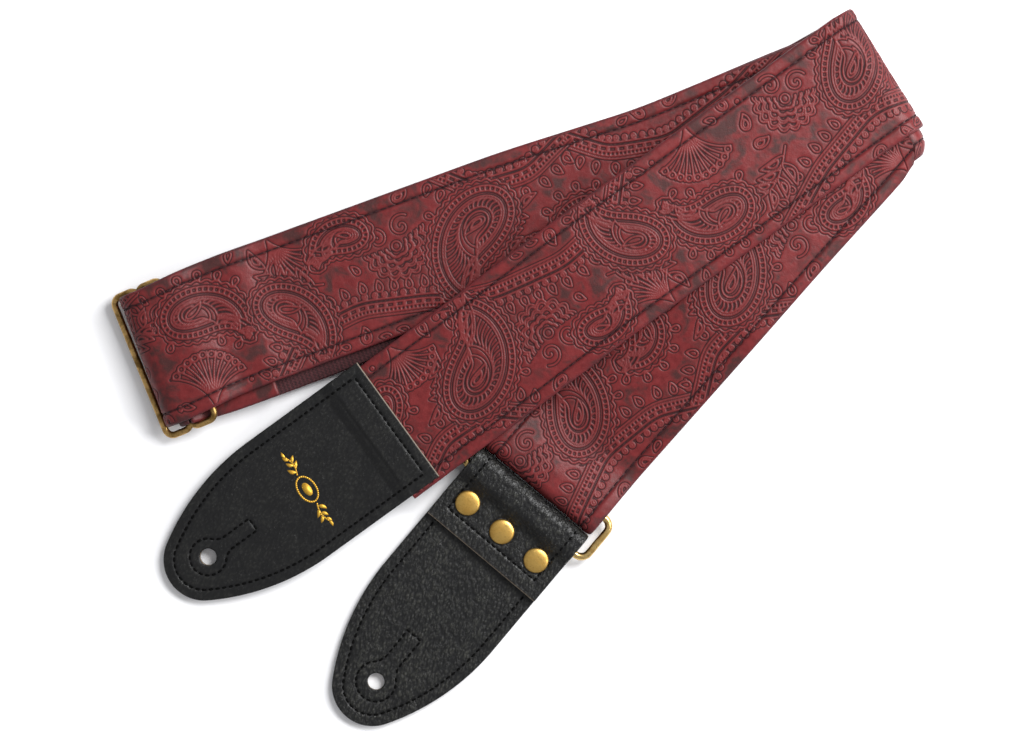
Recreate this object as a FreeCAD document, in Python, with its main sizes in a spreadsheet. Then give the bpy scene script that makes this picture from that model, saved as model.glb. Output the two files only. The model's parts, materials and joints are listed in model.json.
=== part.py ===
import FreeCAD, Part

"""A two inch guitar strap, folded for storage: embossed strap, slider, ring and two end tabs.

Millimetres, +Z up. The bundle lies on the XY plane. Each length of strap between two folds is a
face ply and a backing ply. A run's own frame has +X along the run and the floor at z = 0.
"""
import math
import os

import Sketcher

NODE_FOLDER = "parts"

# Reach of a cutting outline past what it cuts, and slack between parts that touch.
CUT_DEPTH = 80.0
CUT_REACH = 60.0
END_GAP = 0.3
SNUG = 0.05
LOOSE = 0.1

# Driving dimensions, in millimetres and degrees.
DIMENSIONS = {
    "strap_width": 50.8,
    "face_thick": 1.2,
    "backing_thick": 1.2,
    "ply_gap": 0.3,
    "fold_gap": 1.0,
    "run_gap": 0.3,
    # plan positions of the folds and of the hardware, from the middle of the bundle
    "top_fold_x": 128.0,
    "top_fold_y": 105.2,
    "top_fold_angle": 121.8,
    "top_run_angle": 215.9,
    "side_fold_x": 129.5,
    "side_fold_y": 100.0,
    "side_fold_angle": 125.2,
    "ring_bar_x": 12.3,
    "ring_bar_y": -39.8,
    "slider_x": -130.2,
    "slider_y": 2.8,
    "slider_turn": 202.2,
    "box_centre_x": -0.52,
    "box_centre_y": -0.62,
    # top run and the tab sewn over its end
    "top_run_length": 212.3,
    "top_run_level": 125.0,
    "tab_overlap": 12.8,
    "tab_width": 51.4,
    "tab_skin": 0.9,
    "tab_core": 0.8,
    "tab_a_length": 104.0,
    "tab_b_length": 100.1,
    "tab_side_arc": 90.0,
    "tab_tip_arc": 15.0,
    "hole_radius": 3.1,
    "hole_from_tip": 17.0,
    "tab_step": 4.5,
    # lower run to the ring
    "lower_level": 95.0,
    "lower_landed": 165.0,
    "ring_rise": 12.0,
    "ring_wire": 2.8,
    "ring_bore": 2.1,
    "ring_length": 60.6,
    "ring_span": 17.2,
    "ring_corner": 3.6,
    "strap_slack": 4.0,
    "tab_slack": 3.8,
    "tab_b_aside": 0.7,
    "flap_length": 23.1,
    "flap_landed": 5.8,
    "rivet_from_bar": 10.9,
    "rivet_pitch": 16.4,
    "rivet_radius": 4.7,
    "rivet_dome": 1.6,
    "rivet_base": 0.5,
    "rivet_seat": 4.0,
    "rivet_post": 1.5,
    # slider and the strap threaded through it
    "slider_wire": 2.5,
    "slider_bore": 1.55,
    "slider_length": 57.2,
    "slider_span": 10.2,
    "slider_corner": 3.0,
    "tail_length": 35.0,
}


class Size:
    """A sheet cell, or arithmetic on cells, as a number and as the expression that gives it."""

    def __init__(self, value, text):
        self.value = value
        self.text = text

    @staticmethod
    def of(other):
        return other if isinstance(other, Size) else Size(float(other), repr(float(other)))

    def joined(self, other, sign, value):
        return Size(value, "(" + self.text + " " + sign + " " + Size.of(other).text + ")")

    def __add__(self, other):
        return self.joined(other, "+", self.value + Size.of(other).value)

    def __sub__(self, other):
        return self.joined(other, "-", self.value - Size.of(other).value)

    def __mul__(self, other):
        return self.joined(other, "*", self.value * Size.of(other).value)

    def __truediv__(self, other):
        return self.joined(other, "/", self.value / Size.of(other).value)

    def __neg__(self):
        return Size(0.0, "0") - self


def make_sheet(doc):
    """The spreadsheet of driving dimensions, and a Size for each of its cells."""
    sheet = doc.addObject("Spreadsheet::Sheet", "sizes")
    cells = {}
    for row, (name, value) in enumerate(DIMENSIONS.items(), start=1):
        sheet.set("A" + str(row), name)
        sheet.set("B" + str(row), str(value))
        sheet.setAlias("B" + str(row), name)
        cells[name] = Size(value, "sizes." + name)
    return cells


doc = FreeCAD.newDocument("guitar_strap")
cell = make_sheet(doc)
doc.recompute()
nodes = []

# Levels of the plies, from the floor up.
ply = cell["face_thick"] + cell["backing_thick"]
width = cell["strap_width"]
under_z = ply + cell["ply_gap"]
middle_z = under_z + ply + cell["ply_gap"]
lower_z = middle_z + ply + cell["fold_gap"]
upper_z = lower_z + ply + cell["ply_gap"]
top_z = upper_z + ply + cell["run_gap"]
fold_centre = middle_z + ply + cell["fold_gap"] / 2
tab_thick = cell["tab_skin"] * 2 + cell["tab_core"]
ring_z = ply + cell["ring_bore"]
slider_z = under_z + ply + cell["slider_bore"]


def number(size):
    return Size.of(size).value


def heading(angle):
    """The unit vector in plan at an angle in degrees."""
    return FreeCAD.Vector(math.cos(math.radians(angle)), math.sin(math.radians(angle)), 0)


def spot(name):
    """The plan position of a fold or of a piece of hardware, in the part's frame."""
    x = number(cell[name + "_x"]) - number(cell["box_centre_x"])
    y = number(cell[name + "_y"]) - number(cell["box_centre_y"])
    return FreeCAD.Vector(x, y, 0)


def place_at(point, angle, tilt=0.0):
    """A placement at a point, turned about Z, then nose down by tilt about its own Y."""
    turn = FreeCAD.Rotation(FreeCAD.Vector(0, 0, 1), angle)
    nose = FreeCAD.Rotation(FreeCAD.Vector(0, 1, 0), tilt)
    return FreeCAD.Placement(point, turn.multiply(nose))


def new_body(label, placement):
    body = doc.addObject("PartDesign::Body", "Body_" + label)
    body.Label = label
    body.Placement = placement
    nodes.append(body)
    return body


def new_sketch(body, role):
    """A sketch on one of the body's own origin planes."""
    sketch = body.newObject("Sketcher::SketchObject", "Sketch_" + body.Label)
    plane = next(item for item in body.Origin.OriginFeatures if item.Role == role)
    sketch.AttachmentSupport = [(plane, "")]
    sketch.MapMode = "FlatFace"
    return sketch


def constrain(sketch, kind, where, size):
    """Adds one dimension and binds it to the sheet."""
    index = sketch.addConstraint(Sketcher.Constraint(kind, *where, number(size)))
    sketch.setExpression("Constraints[" + str(index) + "]", Size.of(size).text)


def polygon(sketch, points):
    """A closed outline whose corners are all bound to the sheet."""
    first = sketch.GeometryCount
    count = len(points)
    flat = [FreeCAD.Vector(number(x), number(y), 0) for x, y in points]
    for i in range(count):
        sketch.addGeometry(Part.LineSegment(flat[i], flat[(i + 1) % count]))
    for i, (x, y) in enumerate(points):
        before = first + (i - 1) % count
        sketch.addConstraint(Sketcher.Constraint("Coincident", before, 2, first + i, 1))
        constrain(sketch, "DistanceX", (-1, 1, first + i, 1), x)
        constrain(sketch, "DistanceY", (-1, 1, first + i, 1), y)


def pad(body, sketch, length, both_ways=True):
    feature = body.newObject("PartDesign::Pad", "Pad_" + body.Label)
    feature.Profile = sketch
    feature.Length = number(length)
    feature.setExpression("Length", Size.of(length).text)
    feature.SideType = "Symmetric" if both_ways else "One side"
    return feature


def cut_through(body, sketch):
    """Cuts a plan outline right through the body, up and down."""
    feature = body.newObject("PartDesign::Pocket", "Pocket_" + body.Label)
    feature.Profile = sketch
    feature.Length = CUT_DEPTH
    feature.SideType = "Symmetric"
    return feature


def sheet_profile(line, offset, thick):
    """A ply seen from its side: the line of the run's underside, raised and thickened."""
    low = [(x, z + offset) for x, z in line]
    return low + [(x, z + thick) for x, z in reversed(low)]


def trim(body, end, angle, outward):
    """Cuts a run's end along a fold that lies at an angle to the run."""
    reach = width
    lean = 1 / math.tan(math.radians(angle)) * outward
    near = Size.of(end) - reach * lean * outward
    far = Size.of(end) + reach * lean * outward
    beyond = Size.of(CUT_REACH * outward)
    sketch = new_sketch(body, "XY_Plane")
    polygon(sketch, [(near, -reach), (far, reach), (far + beyond, reach), (near + beyond, -reach)])
    cut_through(body, sketch)


def strap_run(label, placement, line, face_up, ends=()):
    """One length of strap: its face ply and its backing ply, cut at the folds it meets."""
    face, back = cell["face_thick"], cell["backing_thick"]
    layers = {
        "face": (back if face_up else Size.of(0), face),
        "backing": (Size.of(0) if face_up else face, back),
    }
    line = [(Size.of(x), Size.of(z)) for x, z in line]
    for layer, (offset, thick) in layers.items():
        body = new_body(layer + "_" + label, placement)
        sketch = new_sketch(body, "XZ_Plane")
        polygon(sketch, sheet_profile(line, offset, thick))
        pad(body, sketch, width)
        for end, angle, outward in ends:
            trim(body, end, angle, outward)


def half_ring(sketch, centre_z, inner, outer, side=1):
    """A half ring that bulges towards +X or -X, centred on the sketch's upright axis."""
    centre = FreeCAD.Vector(0, number(centre_z), 0)
    begin = -side * math.pi / 2
    for radius in (outer, inner):
        circle = Part.Circle(centre, FreeCAD.Vector(0, 0, 1), number(radius))
        sketch.addGeometry(Part.ArcOfCircle(circle, begin, begin + math.pi))
    for sign in (-1, 1):
        low = FreeCAD.Vector(0, number(centre_z) + sign * number(inner), 0)
        high = FreeCAD.Vector(0, number(centre_z) + sign * number(outer), 0)
        sketch.addGeometry(Part.LineSegment(low, high))
    sketch.addConstraint(Sketcher.Constraint("Coincident", 0, 3, 1, 3))
    sketch.addConstraint(Sketcher.Constraint("PointOnObject", 0, 3, -2))
    bottom, top = (1, 2) if side > 0 else (2, 1)
    for line, end in ((2, bottom), (3, top)):
        sketch.addConstraint(Sketcher.Constraint("Coincident", line, 1, 1, end))
        sketch.addConstraint(Sketcher.Constraint("Coincident", line, 2, 0, end))
        sketch.addConstraint(Sketcher.Constraint("Vertical", line))
    constrain(sketch, "Radius", (0,), outer)
    constrain(sketch, "Radius", (1,), inner)
    constrain(sketch, "DistanceY", (-1, 1, 0, 3), centre_z)


def bend(label, placement, centre_z, inner, thick, length):
    """One ply turned back on itself round a straight axis."""
    body = new_body(label, placement)
    sketch = new_sketch(body, "XZ_Plane")
    half_ring(sketch, centre_z, inner, inner + thick)
    pad(body, sketch, length)


def strap_bend(label, placement, centre_z, inner, face_outside, length):
    """Face ply and backing ply of a fold."""
    face, back = cell["face_thick"], cell["backing_thick"]
    if face_outside:
        bend("backing_" + label, placement, centre_z, inner, back, length)
        bend("face_" + label, placement, centre_z, inner + back, face, length)
    else:
        bend("face_" + label, placement, centre_z, inner, face, length)
        bend("backing_" + label, placement, centre_z, inner + face, back, length)


# ---- plan of the bundle: the direction and length of each run ----
top_fold = spot("top_fold")
side_fold = spot("side_fold")
slider = spot("slider")
ring_bar = spot("ring_bar")
top_fold_angle = number(cell["top_fold_angle"])
side_fold_angle = number(cell["side_fold_angle"])
top_angle = number(cell["top_run_angle"])
slider_turn = number(cell["slider_turn"])


def plan_angle(start, end):
    return math.degrees(math.atan2(end.y - start.y, end.x - start.x))


bottom_angle = plan_angle(top_fold, slider)
bottom_length = Size.of((slider - top_fold).Length)
middle_angle = plan_angle(slider, side_fold)
middle_length = Size.of((side_fold - slider).Length)
lower_angle = plan_angle(side_fold, ring_bar)
lower_length = Size.of((ring_bar - side_fold).Length)
fold_length = width * 1.01
zero = Size.of(0)
spare = 8.0

# ---- top run: from the top fold down to tab A ----
tab_a_fall = top_z - cell["tab_skin"] - SNUG
fall_run = cell["top_run_length"] + cell["tab_a_length"] - cell["top_run_level"]
slope = tab_a_fall / fall_run
hidden_end = cell["top_run_length"] + cell["tab_overlap"] - END_GAP
hidden_fall = slope * (hidden_end - cell["top_run_level"])
strap_run(
    "top_run",
    place_at(top_fold, top_angle),
    [(-spare, top_z), (cell["top_run_level"], top_z), (hidden_end, top_z - hidden_fall)],
    True,
    [(END_GAP, top_fold_angle - top_angle, -1)],
)
strap_bend(
    "top_fold",
    place_at(top_fold, top_fold_angle - 90),
    fold_centre,
    fold_centre - ply,
    True,
    fold_length,
)

# ---- bottom run: from the top fold to the slider, face down ----
strap_run(
    "bottom_run",
    place_at(top_fold, bottom_angle),
    [(-spare, zero), (bottom_length + spare, zero)],
    False,
    [
        (0, top_fold_angle - bottom_angle, -1),
        (bottom_length, slider_turn - 90 - bottom_angle, 1),
    ],
)

# ---- the turn through the slider, and the sewn loop inside it ----
at_slider = place_at(slider, slider_turn)
loop_outer = cell["slider_bore"] + ply
strap_bend("slider_turn", at_slider, slider_z, loop_outer + cell["ply_gap"], True, width)
strap_bend("sewn_loop", at_slider, slider_z, cell["slider_bore"], True, width)

from_slider = place_at(slider, middle_angle)
turn_top = slider_z + loop_outer + cell["ply_gap"]
loop_top = slider_z + cell["slider_bore"]
tail_z = middle_z
over_tail = tail_z + ply + cell["ply_gap"]
slider_end = (0, slider_turn - 90 - middle_angle, -1)
strap_run(
    "sewn_tail",
    from_slider,
    [(-spare, loop_top), (1, loop_top), (7.5, tail_z), (cell["tail_length"], tail_z)],
    True,
    [slider_end],
)
strap_run(
    "middle_run_upper",
    from_slider,
    [
        (-spare, turn_top),
        (0, turn_top),
        (8, turn_top + 0.5),
        (13, turn_top + 0.5),
        (24, over_tail),
        (cell["tail_length"] + 3, over_tail),
        (cell["tail_length"] + 15, middle_z),
        (middle_length + spare * 2, middle_z),
    ],
    True,
    [slider_end, (middle_length, side_fold_angle - middle_angle, 1)],
)
strap_run(
    "middle_run_under",
    from_slider,
    [(-spare, under_z), (middle_length + spare * 2, under_z)],
    False,
    [slider_end, (middle_length, side_fold_angle - middle_angle, 1)],
)

# ---- the side fold: two plies, one inside the other ----
at_side_fold = place_at(side_fold, side_fold_angle - 90)
inner_fold = cell["fold_gap"] / 2
outer_fold = inner_fold + ply + cell["ply_gap"]
strap_bend("side_fold_inner", at_side_fold, fold_centre, inner_fold, False, fold_length)
strap_bend("side_fold_outer", at_side_fold, fold_centre, outer_fold, True, fold_length)

# ---- lower run: two plies down to the ring ----
from_side_fold = place_at(side_fold, lower_angle)
loop_end = lower_length + cell["strap_slack"]
side_end = (0, side_fold_angle - lower_angle, -1)
ring_top = ring_z + cell["ring_bore"]
strap_run(
    "lower_run_under",
    from_side_fold,
    [
        (-spare * 2, lower_z),
        (cell["lower_level"], lower_z),
        (cell["lower_landed"], zero),
        (loop_end, zero),
    ],
    False,
    [side_end],
)
strap_run(
    "lower_run_upper",
    from_side_fold,
    [
        (-spare * 2, upper_z),
        (cell["lower_level"], upper_z),
        (cell["lower_landed"], ply + cell["ply_gap"]),
        (loop_end - cell["ring_rise"] - 5, ply + cell["ply_gap"]),
        (loop_end - 5, ring_top),
        (loop_end, ring_top),
    ],
    True,
    [side_end],
)
ring_heading = heading(lower_angle)
strap_bend(
    "ring_turn",
    place_at(side_fold + ring_heading * number(loop_end), lower_angle),
    ring_z,
    cell["ring_bore"],
    True,
    width,
)


# ---- hardware ----
def rounded_loop(sketch, start, span, length, corner):
    """A rounded rectangle from x = start to x = start + span, centred on the X axis."""
    half = number(length) / 2
    x0, x1, r = number(start), number(start) + number(span), number(corner)
    middles = [(x0 + r, -half + r), (x1 - r, -half + r), (x1 - r, half - r), (x0 + r, half - r)]
    for i, (x, y) in enumerate(middles):
        circle = Part.Circle(FreeCAD.Vector(x, y, 0), FreeCAD.Vector(0, 0, 1), r)
        begin = math.pi + i * math.pi / 2
        sketch.addGeometry(Part.ArcOfCircle(circle, begin, begin + math.pi / 2))
    sides = [((x0 + r, -half), (x1 - r, -half)), ((x1, -half + r), (x1, half - r))]
    sides += [((x1 - r, half), (x0 + r, half)), ((x0, half - r), (x0, -half + r))]
    for low, high in sides:
        sketch.addGeometry(Part.LineSegment(FreeCAD.Vector(*low, 0), FreeCAD.Vector(*high, 0)))
    for i in range(4):
        sketch.addConstraint(Sketcher.Constraint("Tangent", i, 2, 4 + i, 1))
        sketch.addConstraint(Sketcher.Constraint("Tangent", 4 + i, 2, (i + 1) % 4, 1))
    for i in (4, 6):
        sketch.addConstraint(Sketcher.Constraint("Horizontal", i))
    sketch.addConstraint(Sketcher.Constraint("Vertical", 5))
    for i in (1, 2, 3):
        sketch.addConstraint(Sketcher.Constraint("Equal", 0, i))
    sketch.addConstraint(Sketcher.Constraint("Symmetric", 7, 1, 7, 2, -1))
    constrain(sketch, "Radius", (0,), corner)
    constrain(sketch, "DistanceX", (-1, 1, 7, 1), start)
    constrain(sketch, "DistanceX", (7, 1, 5, 1), span)
    constrain(sketch, "DistanceY", (4, 1, 6, 1), length)


def circle_in(sketch, x, y, radius):
    index = sketch.addGeometry(
        Part.Circle(FreeCAD.Vector(number(x), number(y), 0), FreeCAD.Vector(0, 0, 1), number(radius))
    )
    constrain(sketch, "DistanceX", (-1, 1, index, 3), x)
    constrain(sketch, "DistanceY", (-1, 1, index, 3), y)
    constrain(sketch, "Radius", (index,), radius)


def wire_loop(body, start, span, length, corner, wire):
    """Round wire bent along a rounded rectangle."""
    path = new_sketch(body, "XY_Plane")
    rounded_loop(path, start, span, length - wire, corner)
    section = new_sketch(body, "XZ_Plane")
    circle_in(section, start, zero, wire / 2)
    pipe = body.newObject("PartDesign::AdditivePipe", "Pipe_" + body.Label)
    pipe.Profile = section
    pipe.Spine = path


ring_point = ring_bar + FreeCAD.Vector(0, 0, number(ring_z))
ring = new_body("ring", place_at(ring_point, lower_angle))
wire_loop(
    ring, zero, cell["ring_span"], cell["ring_length"], cell["ring_corner"], cell["ring_wire"]
)

wire = cell["slider_wire"]
far_bar_z = tail_z + ply + 0.5 + wire / 2
slider_tilt = math.degrees(math.asin(number(far_bar_z - slider_z) / number(cell["slider_span"])))
slider_point = slider + FreeCAD.Vector(0, 0, number(slider_z))
tri_glide = new_body("slider", place_at(slider_point, slider_turn, slider_tilt))
for window_start in (-cell["slider_span"], zero):
    wire_loop(
        tri_glide,
        window_start,
        cell["slider_span"],
        cell["slider_length"],
        cell["slider_corner"],
        wire,
    )


# ---- end tabs ----
def tab_outline(sketch, start, tip):
    """Straight sides, two long arcs and a round tip that points along +X."""
    half = number(cell["tab_width"]) / 2
    side, nose = number(cell["tab_side_arc"]), number(cell["tab_tip_arc"])
    x0, nose_x = number(start), number(tip) - nose
    run = math.sqrt((side - nose) ** 2 - (side - half) ** 2)
    shoulder = nose_x - run
    phi = math.atan2(side - half, run)
    up = FreeCAD.Vector(0, 0, 1)
    arcs = [
        (FreeCAD.Vector(shoulder, half - side, 0), side, phi, math.pi / 2),
        (FreeCAD.Vector(nose_x, 0, 0), nose, -phi, phi),
        (FreeCAD.Vector(shoulder, side - half, 0), side, -math.pi / 2, -phi),
    ]
    first = sketch.GeometryCount
    top, low, back = first + 3, first + 4, first + 5
    for centre, radius, begin, end in arcs:
        sketch.addGeometry(Part.ArcOfCircle(Part.Circle(centre, up, radius), begin, end))
    corners = [(x0, half), (shoulder, half), (shoulder, -half), (x0, -half)]
    points = [FreeCAD.Vector(x, y, 0) for x, y in corners]
    sketch.addGeometry(Part.LineSegment(points[0], points[1]))
    sketch.addGeometry(Part.LineSegment(points[2], points[3]))
    sketch.addGeometry(Part.LineSegment(points[3], points[0]))
    tangents = [(top, 2, first, 2), (first, 1, first + 1, 2), (first + 1, 1, first + 2, 2)]
    tangents.append((first + 2, 1, low, 1))
    for joint in tangents:
        sketch.addConstraint(Sketcher.Constraint("Tangent", *joint))
    sketch.addConstraint(Sketcher.Constraint("Coincident", low, 2, back, 1))
    sketch.addConstraint(Sketcher.Constraint("Coincident", back, 2, top, 1))
    sketch.addConstraint(Sketcher.Constraint("Horizontal", top))
    sketch.addConstraint(Sketcher.Constraint("Symmetric", back, 1, back, 2, -1))
    sketch.addConstraint(Sketcher.Constraint("PointOnObject", first + 1, 3, -1))
    sketch.addConstraint(Sketcher.Constraint("Equal", first, first + 2))
    constrain(sketch, "Radius", (first,), cell["tab_side_arc"])
    constrain(sketch, "Radius", (first + 1,), cell["tab_tip_arc"])
    constrain(sketch, "DistanceX", (-1, 1, first + 1, 3), Size.of(tip) - cell["tab_tip_arc"])
    constrain(sketch, "DistanceX", (-1, 1, back, 1), start)
    constrain(sketch, "DistanceY", (back, 1, back, 2), cell["tab_width"])


def tab_ply(label, placement, line, thick, start, tip, holes):
    """One ply of a tab: its side profile, cut to the outline and pierced."""
    body = new_body(label, placement)
    side = new_sketch(body, "XZ_Plane")
    polygon(side, sheet_profile(line, zero, thick))
    pad(body, side, cell["tab_width"] + 2)
    plan = new_sketch(body, "XY_Plane")
    reach = cell["tab_width"]
    near, far = Size.of(start) - CUT_REACH, Size.of(tip) + CUT_REACH
    polygon(plan, [(near, -reach), (far, -reach), (far, reach), (near, reach)])
    tab_outline(plan, start, tip)
    cut_through(body, plan)
    pierce(body, holes)
    return body


def pierce(body, holes):
    sketch = new_sketch(body, "XY_Plane")
    for x, y, radius in holes:
        circle_in(sketch, x, y, radius)
    cut_through(body, sketch)


skin, core = cell["tab_skin"], cell["tab_core"]
top_heading = heading(top_angle)
tilt_a = math.degrees(math.atan(number(slope)))
seam_drop = number(slope * (cell["top_run_length"] - cell["top_run_level"]))
seam_z = number(top_z) - seam_drop - number(skin) - SNUG
seam = top_fold + top_heading * number(cell["top_run_length"]) + FreeCAD.Vector(0, 0, seam_z)
tab_a = place_at(seam, top_angle, tilt_a)
tip_a = cell["tab_a_length"]
button_a = [(tip_a - cell["hole_from_tip"], zero, cell["hole_radius"])]
over_strap = skin + ply + LOOSE
step_end = cell["tab_overlap"] + cell["tab_step"]
tab_ply("tab_a_lower_ply", tab_a, [(zero, zero), (tip_a + 2, zero)], skin, zero, tip_a, button_a)
tab_ply(
    "tab_a_core",
    tab_a,
    [(cell["tab_overlap"], skin), (tip_a + 2, skin)],
    core,
    cell["tab_overlap"] + END_GAP,
    tip_a,
    button_a,
)
tab_ply(
    "tab_a_upper_ply",
    tab_a,
    [
        (zero, over_strap),
        (cell["tab_overlap"], over_strap),
        (step_end, skin + core),
        (tip_a + 2, skin + core),
    ],
    skin,
    zero,
    tip_a,
    button_a,
)

# Tab B lies flat, turns up round the ring's outer bar and comes back over itself as a flap.
slack = cell["tab_slack"]
turn_point = ring_bar + ring_heading * number(cell["ring_span"] - slack)
turn_point = turn_point + heading(lower_angle - 90) * number(cell["tab_b_aside"])
tab_b = place_at(turn_point, lower_angle)
tip_b = cell["tab_b_length"] + slack
rivet_x = cell["rivet_from_bar"] + slack
flap_end = cell["flap_length"] + slack
tab_bore = ring_z - tab_thick
flap_z = tab_thick + LOOSE
rivet_rows = [-cell["rivet_pitch"], zero, cell["rivet_pitch"]]
post_holes = [(rivet_x, y, cell["rivet_post"] + LOOSE) for y in rivet_rows]
button_b = (tip_b - cell["hole_from_tip"], zero, cell["hole_radius"])


def tab_b_ply(label, low, thick, under):
    """A ply of tab B: the long blade, the turn round the bar and the flap."""
    body = tab_ply(label, tab_b, [(zero, low), (tip_b + 2, low)], thick, zero, tip_b, [button_b])
    turn = new_sketch(body, "XZ_Plane")
    outer = ring_z - low
    half_ring(turn, ring_z, outer - thick, outer, side=-1)
    pad(body, turn, cell["tab_width"])
    flap = new_sketch(body, "XZ_Plane")
    line = [
        (zero, ring_z + tab_bore + under),
        (slack + cell["ring_wire"] / 2 + LOOSE, ring_z + tab_bore + under),
        (cell["flap_landed"] + slack, flap_z + under),
        (flap_end, flap_z + under),
    ]
    polygon(flap, sheet_profile(line, zero, thick))
    pad(body, flap, cell["tab_width"])
    pierce(body, post_holes)
    return body


tab_b_ply("tab_b_upper_ply", skin + core, skin, zero)
tab_b_ply("tab_b_core", skin, core, skin)
lower_skin = tab_b_ply("tab_b_lower_ply", zero, skin, skin + core)
seat = new_sketch(lower_skin, "XY_Plane")
for row in rivet_rows:
    circle_in(seat, rivet_x, row, cell["rivet_seat"] + LOOSE)
recess = lower_skin.newObject("PartDesign::Pocket", "Recess")
recess.Profile = seat
recess.SideType = "One side"
recess.Reversed = True
recess.Length = number(cell["rivet_base"] + SNUG)
recess.setExpression("Length", (cell["rivet_base"] + SNUG).text)


# ---- rivets ----
def primitive(kind, name, sizes, point):
    """A Part primitive whose sizes are bound to the sheet."""
    item = doc.addObject(kind, name)
    for key, size in sizes.items():
        setattr(item, key, number(size))
        item.setExpression(key, Size.of(size).text)
    item.Placement = FreeCAD.Placement(point, FreeCAD.Rotation())
    return item


cap_z = flap_z + tab_thick + 0.02
rim = 0.4
rise = cell["rivet_dome"] - rim
radius = cell["rivet_radius"]
ball = (radius * radius + rise * rise) / (rise * 2)
for index, row in enumerate(rivet_rows, start=1):
    where = tab_b.multVec(FreeCAD.Vector(number(rivet_x), number(row), 0))
    up = FreeCAD.Vector(0, 0, 1)
    cap_top = cap_z + cell["rivet_dome"]
    disc = primitive(
        "Part::Cylinder",
        "Disc" + str(index),
        {"Radius": radius, "Height": cell["rivet_dome"] + 1},
        where + up * number(cap_z),
    )
    dome = primitive(
        "Part::Sphere", "Dome" + str(index), {"Radius": ball}, where + up * number(cap_top - ball)
    )
    crown = doc.addObject("Part::Common", "Crown" + str(index))
    crown.Base = disc
    crown.Tool = dome
    post = primitive(
        "Part::Cylinder",
        "Post" + str(index),
        {"Radius": cell["rivet_post"], "Height": cap_z - cell["rivet_base"] + 0.2},
        where + up * number(cell["rivet_base"]),
    )
    cap = doc.addObject("Part::Fuse", "Cap" + str(index))
    cap.Base = crown
    cap.Tool = post
    cap.Label = "rivet_cap_" + str(index)
    nodes.append(cap)
    base = primitive(
        "Part::Cylinder",
        "Base" + str(index),
        {"Radius": cell["rivet_seat"], "Height": cell["rivet_base"]},
        where,
    )
    base.Label = "rivet_base_" + str(index)
    nodes.append(base)

# ---- check and write ----
doc.recompute()
for item in doc.Objects:
    if "Invalid" in item.State or "Error" in item.State:
        raise RuntimeError(item.Label + " did not compute: " + str(item.State))
box = FreeCAD.BoundBox()
os.makedirs(NODE_FOLDER, exist_ok=True)
for node in nodes:
    shape = node.Shape
    if shape.isNull() or not shape.isValid() or len(shape.Solids) != 1:
        raise RuntimeError(node.Label + " is not one valid solid")
for node in nodes:
    node.Shape.exportStep(os.path.join(NODE_FOLDER, node.Label + ".step"))
    box.add(node.Shape.BoundBox)
print("nodes", len(nodes))
print("box", box)
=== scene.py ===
import json
import math
import random

import bpy
import mathutils
import numpy as np
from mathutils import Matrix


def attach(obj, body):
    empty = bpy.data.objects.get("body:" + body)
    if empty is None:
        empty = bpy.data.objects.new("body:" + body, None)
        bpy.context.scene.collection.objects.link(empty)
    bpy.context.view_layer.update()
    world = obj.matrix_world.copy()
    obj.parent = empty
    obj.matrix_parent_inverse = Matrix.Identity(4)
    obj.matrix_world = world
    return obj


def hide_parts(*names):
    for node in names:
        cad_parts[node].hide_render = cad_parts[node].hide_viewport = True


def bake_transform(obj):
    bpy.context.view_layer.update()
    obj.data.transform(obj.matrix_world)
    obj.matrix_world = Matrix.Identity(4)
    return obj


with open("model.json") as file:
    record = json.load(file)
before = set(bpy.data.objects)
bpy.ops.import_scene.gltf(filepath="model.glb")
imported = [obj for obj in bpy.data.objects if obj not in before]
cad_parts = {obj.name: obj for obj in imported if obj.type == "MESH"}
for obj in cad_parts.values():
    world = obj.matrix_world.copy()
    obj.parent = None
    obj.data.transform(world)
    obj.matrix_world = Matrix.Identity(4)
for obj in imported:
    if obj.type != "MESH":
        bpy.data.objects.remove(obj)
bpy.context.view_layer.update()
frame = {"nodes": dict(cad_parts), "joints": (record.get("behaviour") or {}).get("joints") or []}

MM = 0.001

# ---- sizes of the strap, in millimetres ----
WIDTH = 50.8
PLY = 2.4
GAP = 0.3
STITCH_IN = 5.0
STITCH_PITCH = 3.0
TAB_WIDTH = 51.4
TAB_SIDE_ARC = 90.0
TAB_TIP_ARC = 15.0
TAB_A = 104.0
TAB_B = 103.9
THICK_B = 2.6
FLAP_END = 26.9
RIVET_X = 14.7
RIVET_ROWS = (-16.4, 0.0, 16.4)
HOLE_RADIUS = 3.1
HOLE_FROM_TIP = 17.0
SKIN = 0.9


def joint(name):
    """A joint of the frame, by name."""
    return next(j for j in frame["joints"] if j["name"] == name)


def pivot(name):
    """A joint's place, in millimetres."""
    return np.array(joint(name)["pos_m"], float) / MM


def unit(vector):
    """A vector at length one."""
    return np.asarray(vector, float) / np.linalg.norm(vector)


def unit_rows(rows):
    """Each row at length one."""
    return rows / np.maximum(np.linalg.norm(rows, axis=1, keepdims=True), 1e-9)


def left_of(ahead):
    """For each way in the plane, the way a quarter turn to its left."""
    return np.column_stack([-ahead[:, 1], ahead[:, 0]])


def travelled(points):
    """How far along a line each of its points lies."""
    return np.concatenate([[0], np.cumsum(np.linalg.norm(np.diff(points, axis=0), axis=1))])


def heading(degrees):
    """The way in plan that an angle points."""
    return np.array([math.cos(math.radians(degrees)), math.sin(math.radians(degrees)), 0.0])


def smooth(low, high, x):
    """An eased rise from 0 at low to 1 at high."""
    t = np.clip((x - low) / (high - low), 0, 1)
    return t * t * (3 - 2 * t)


UP = np.array([0.0, 0.0, 1.0])

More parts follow.
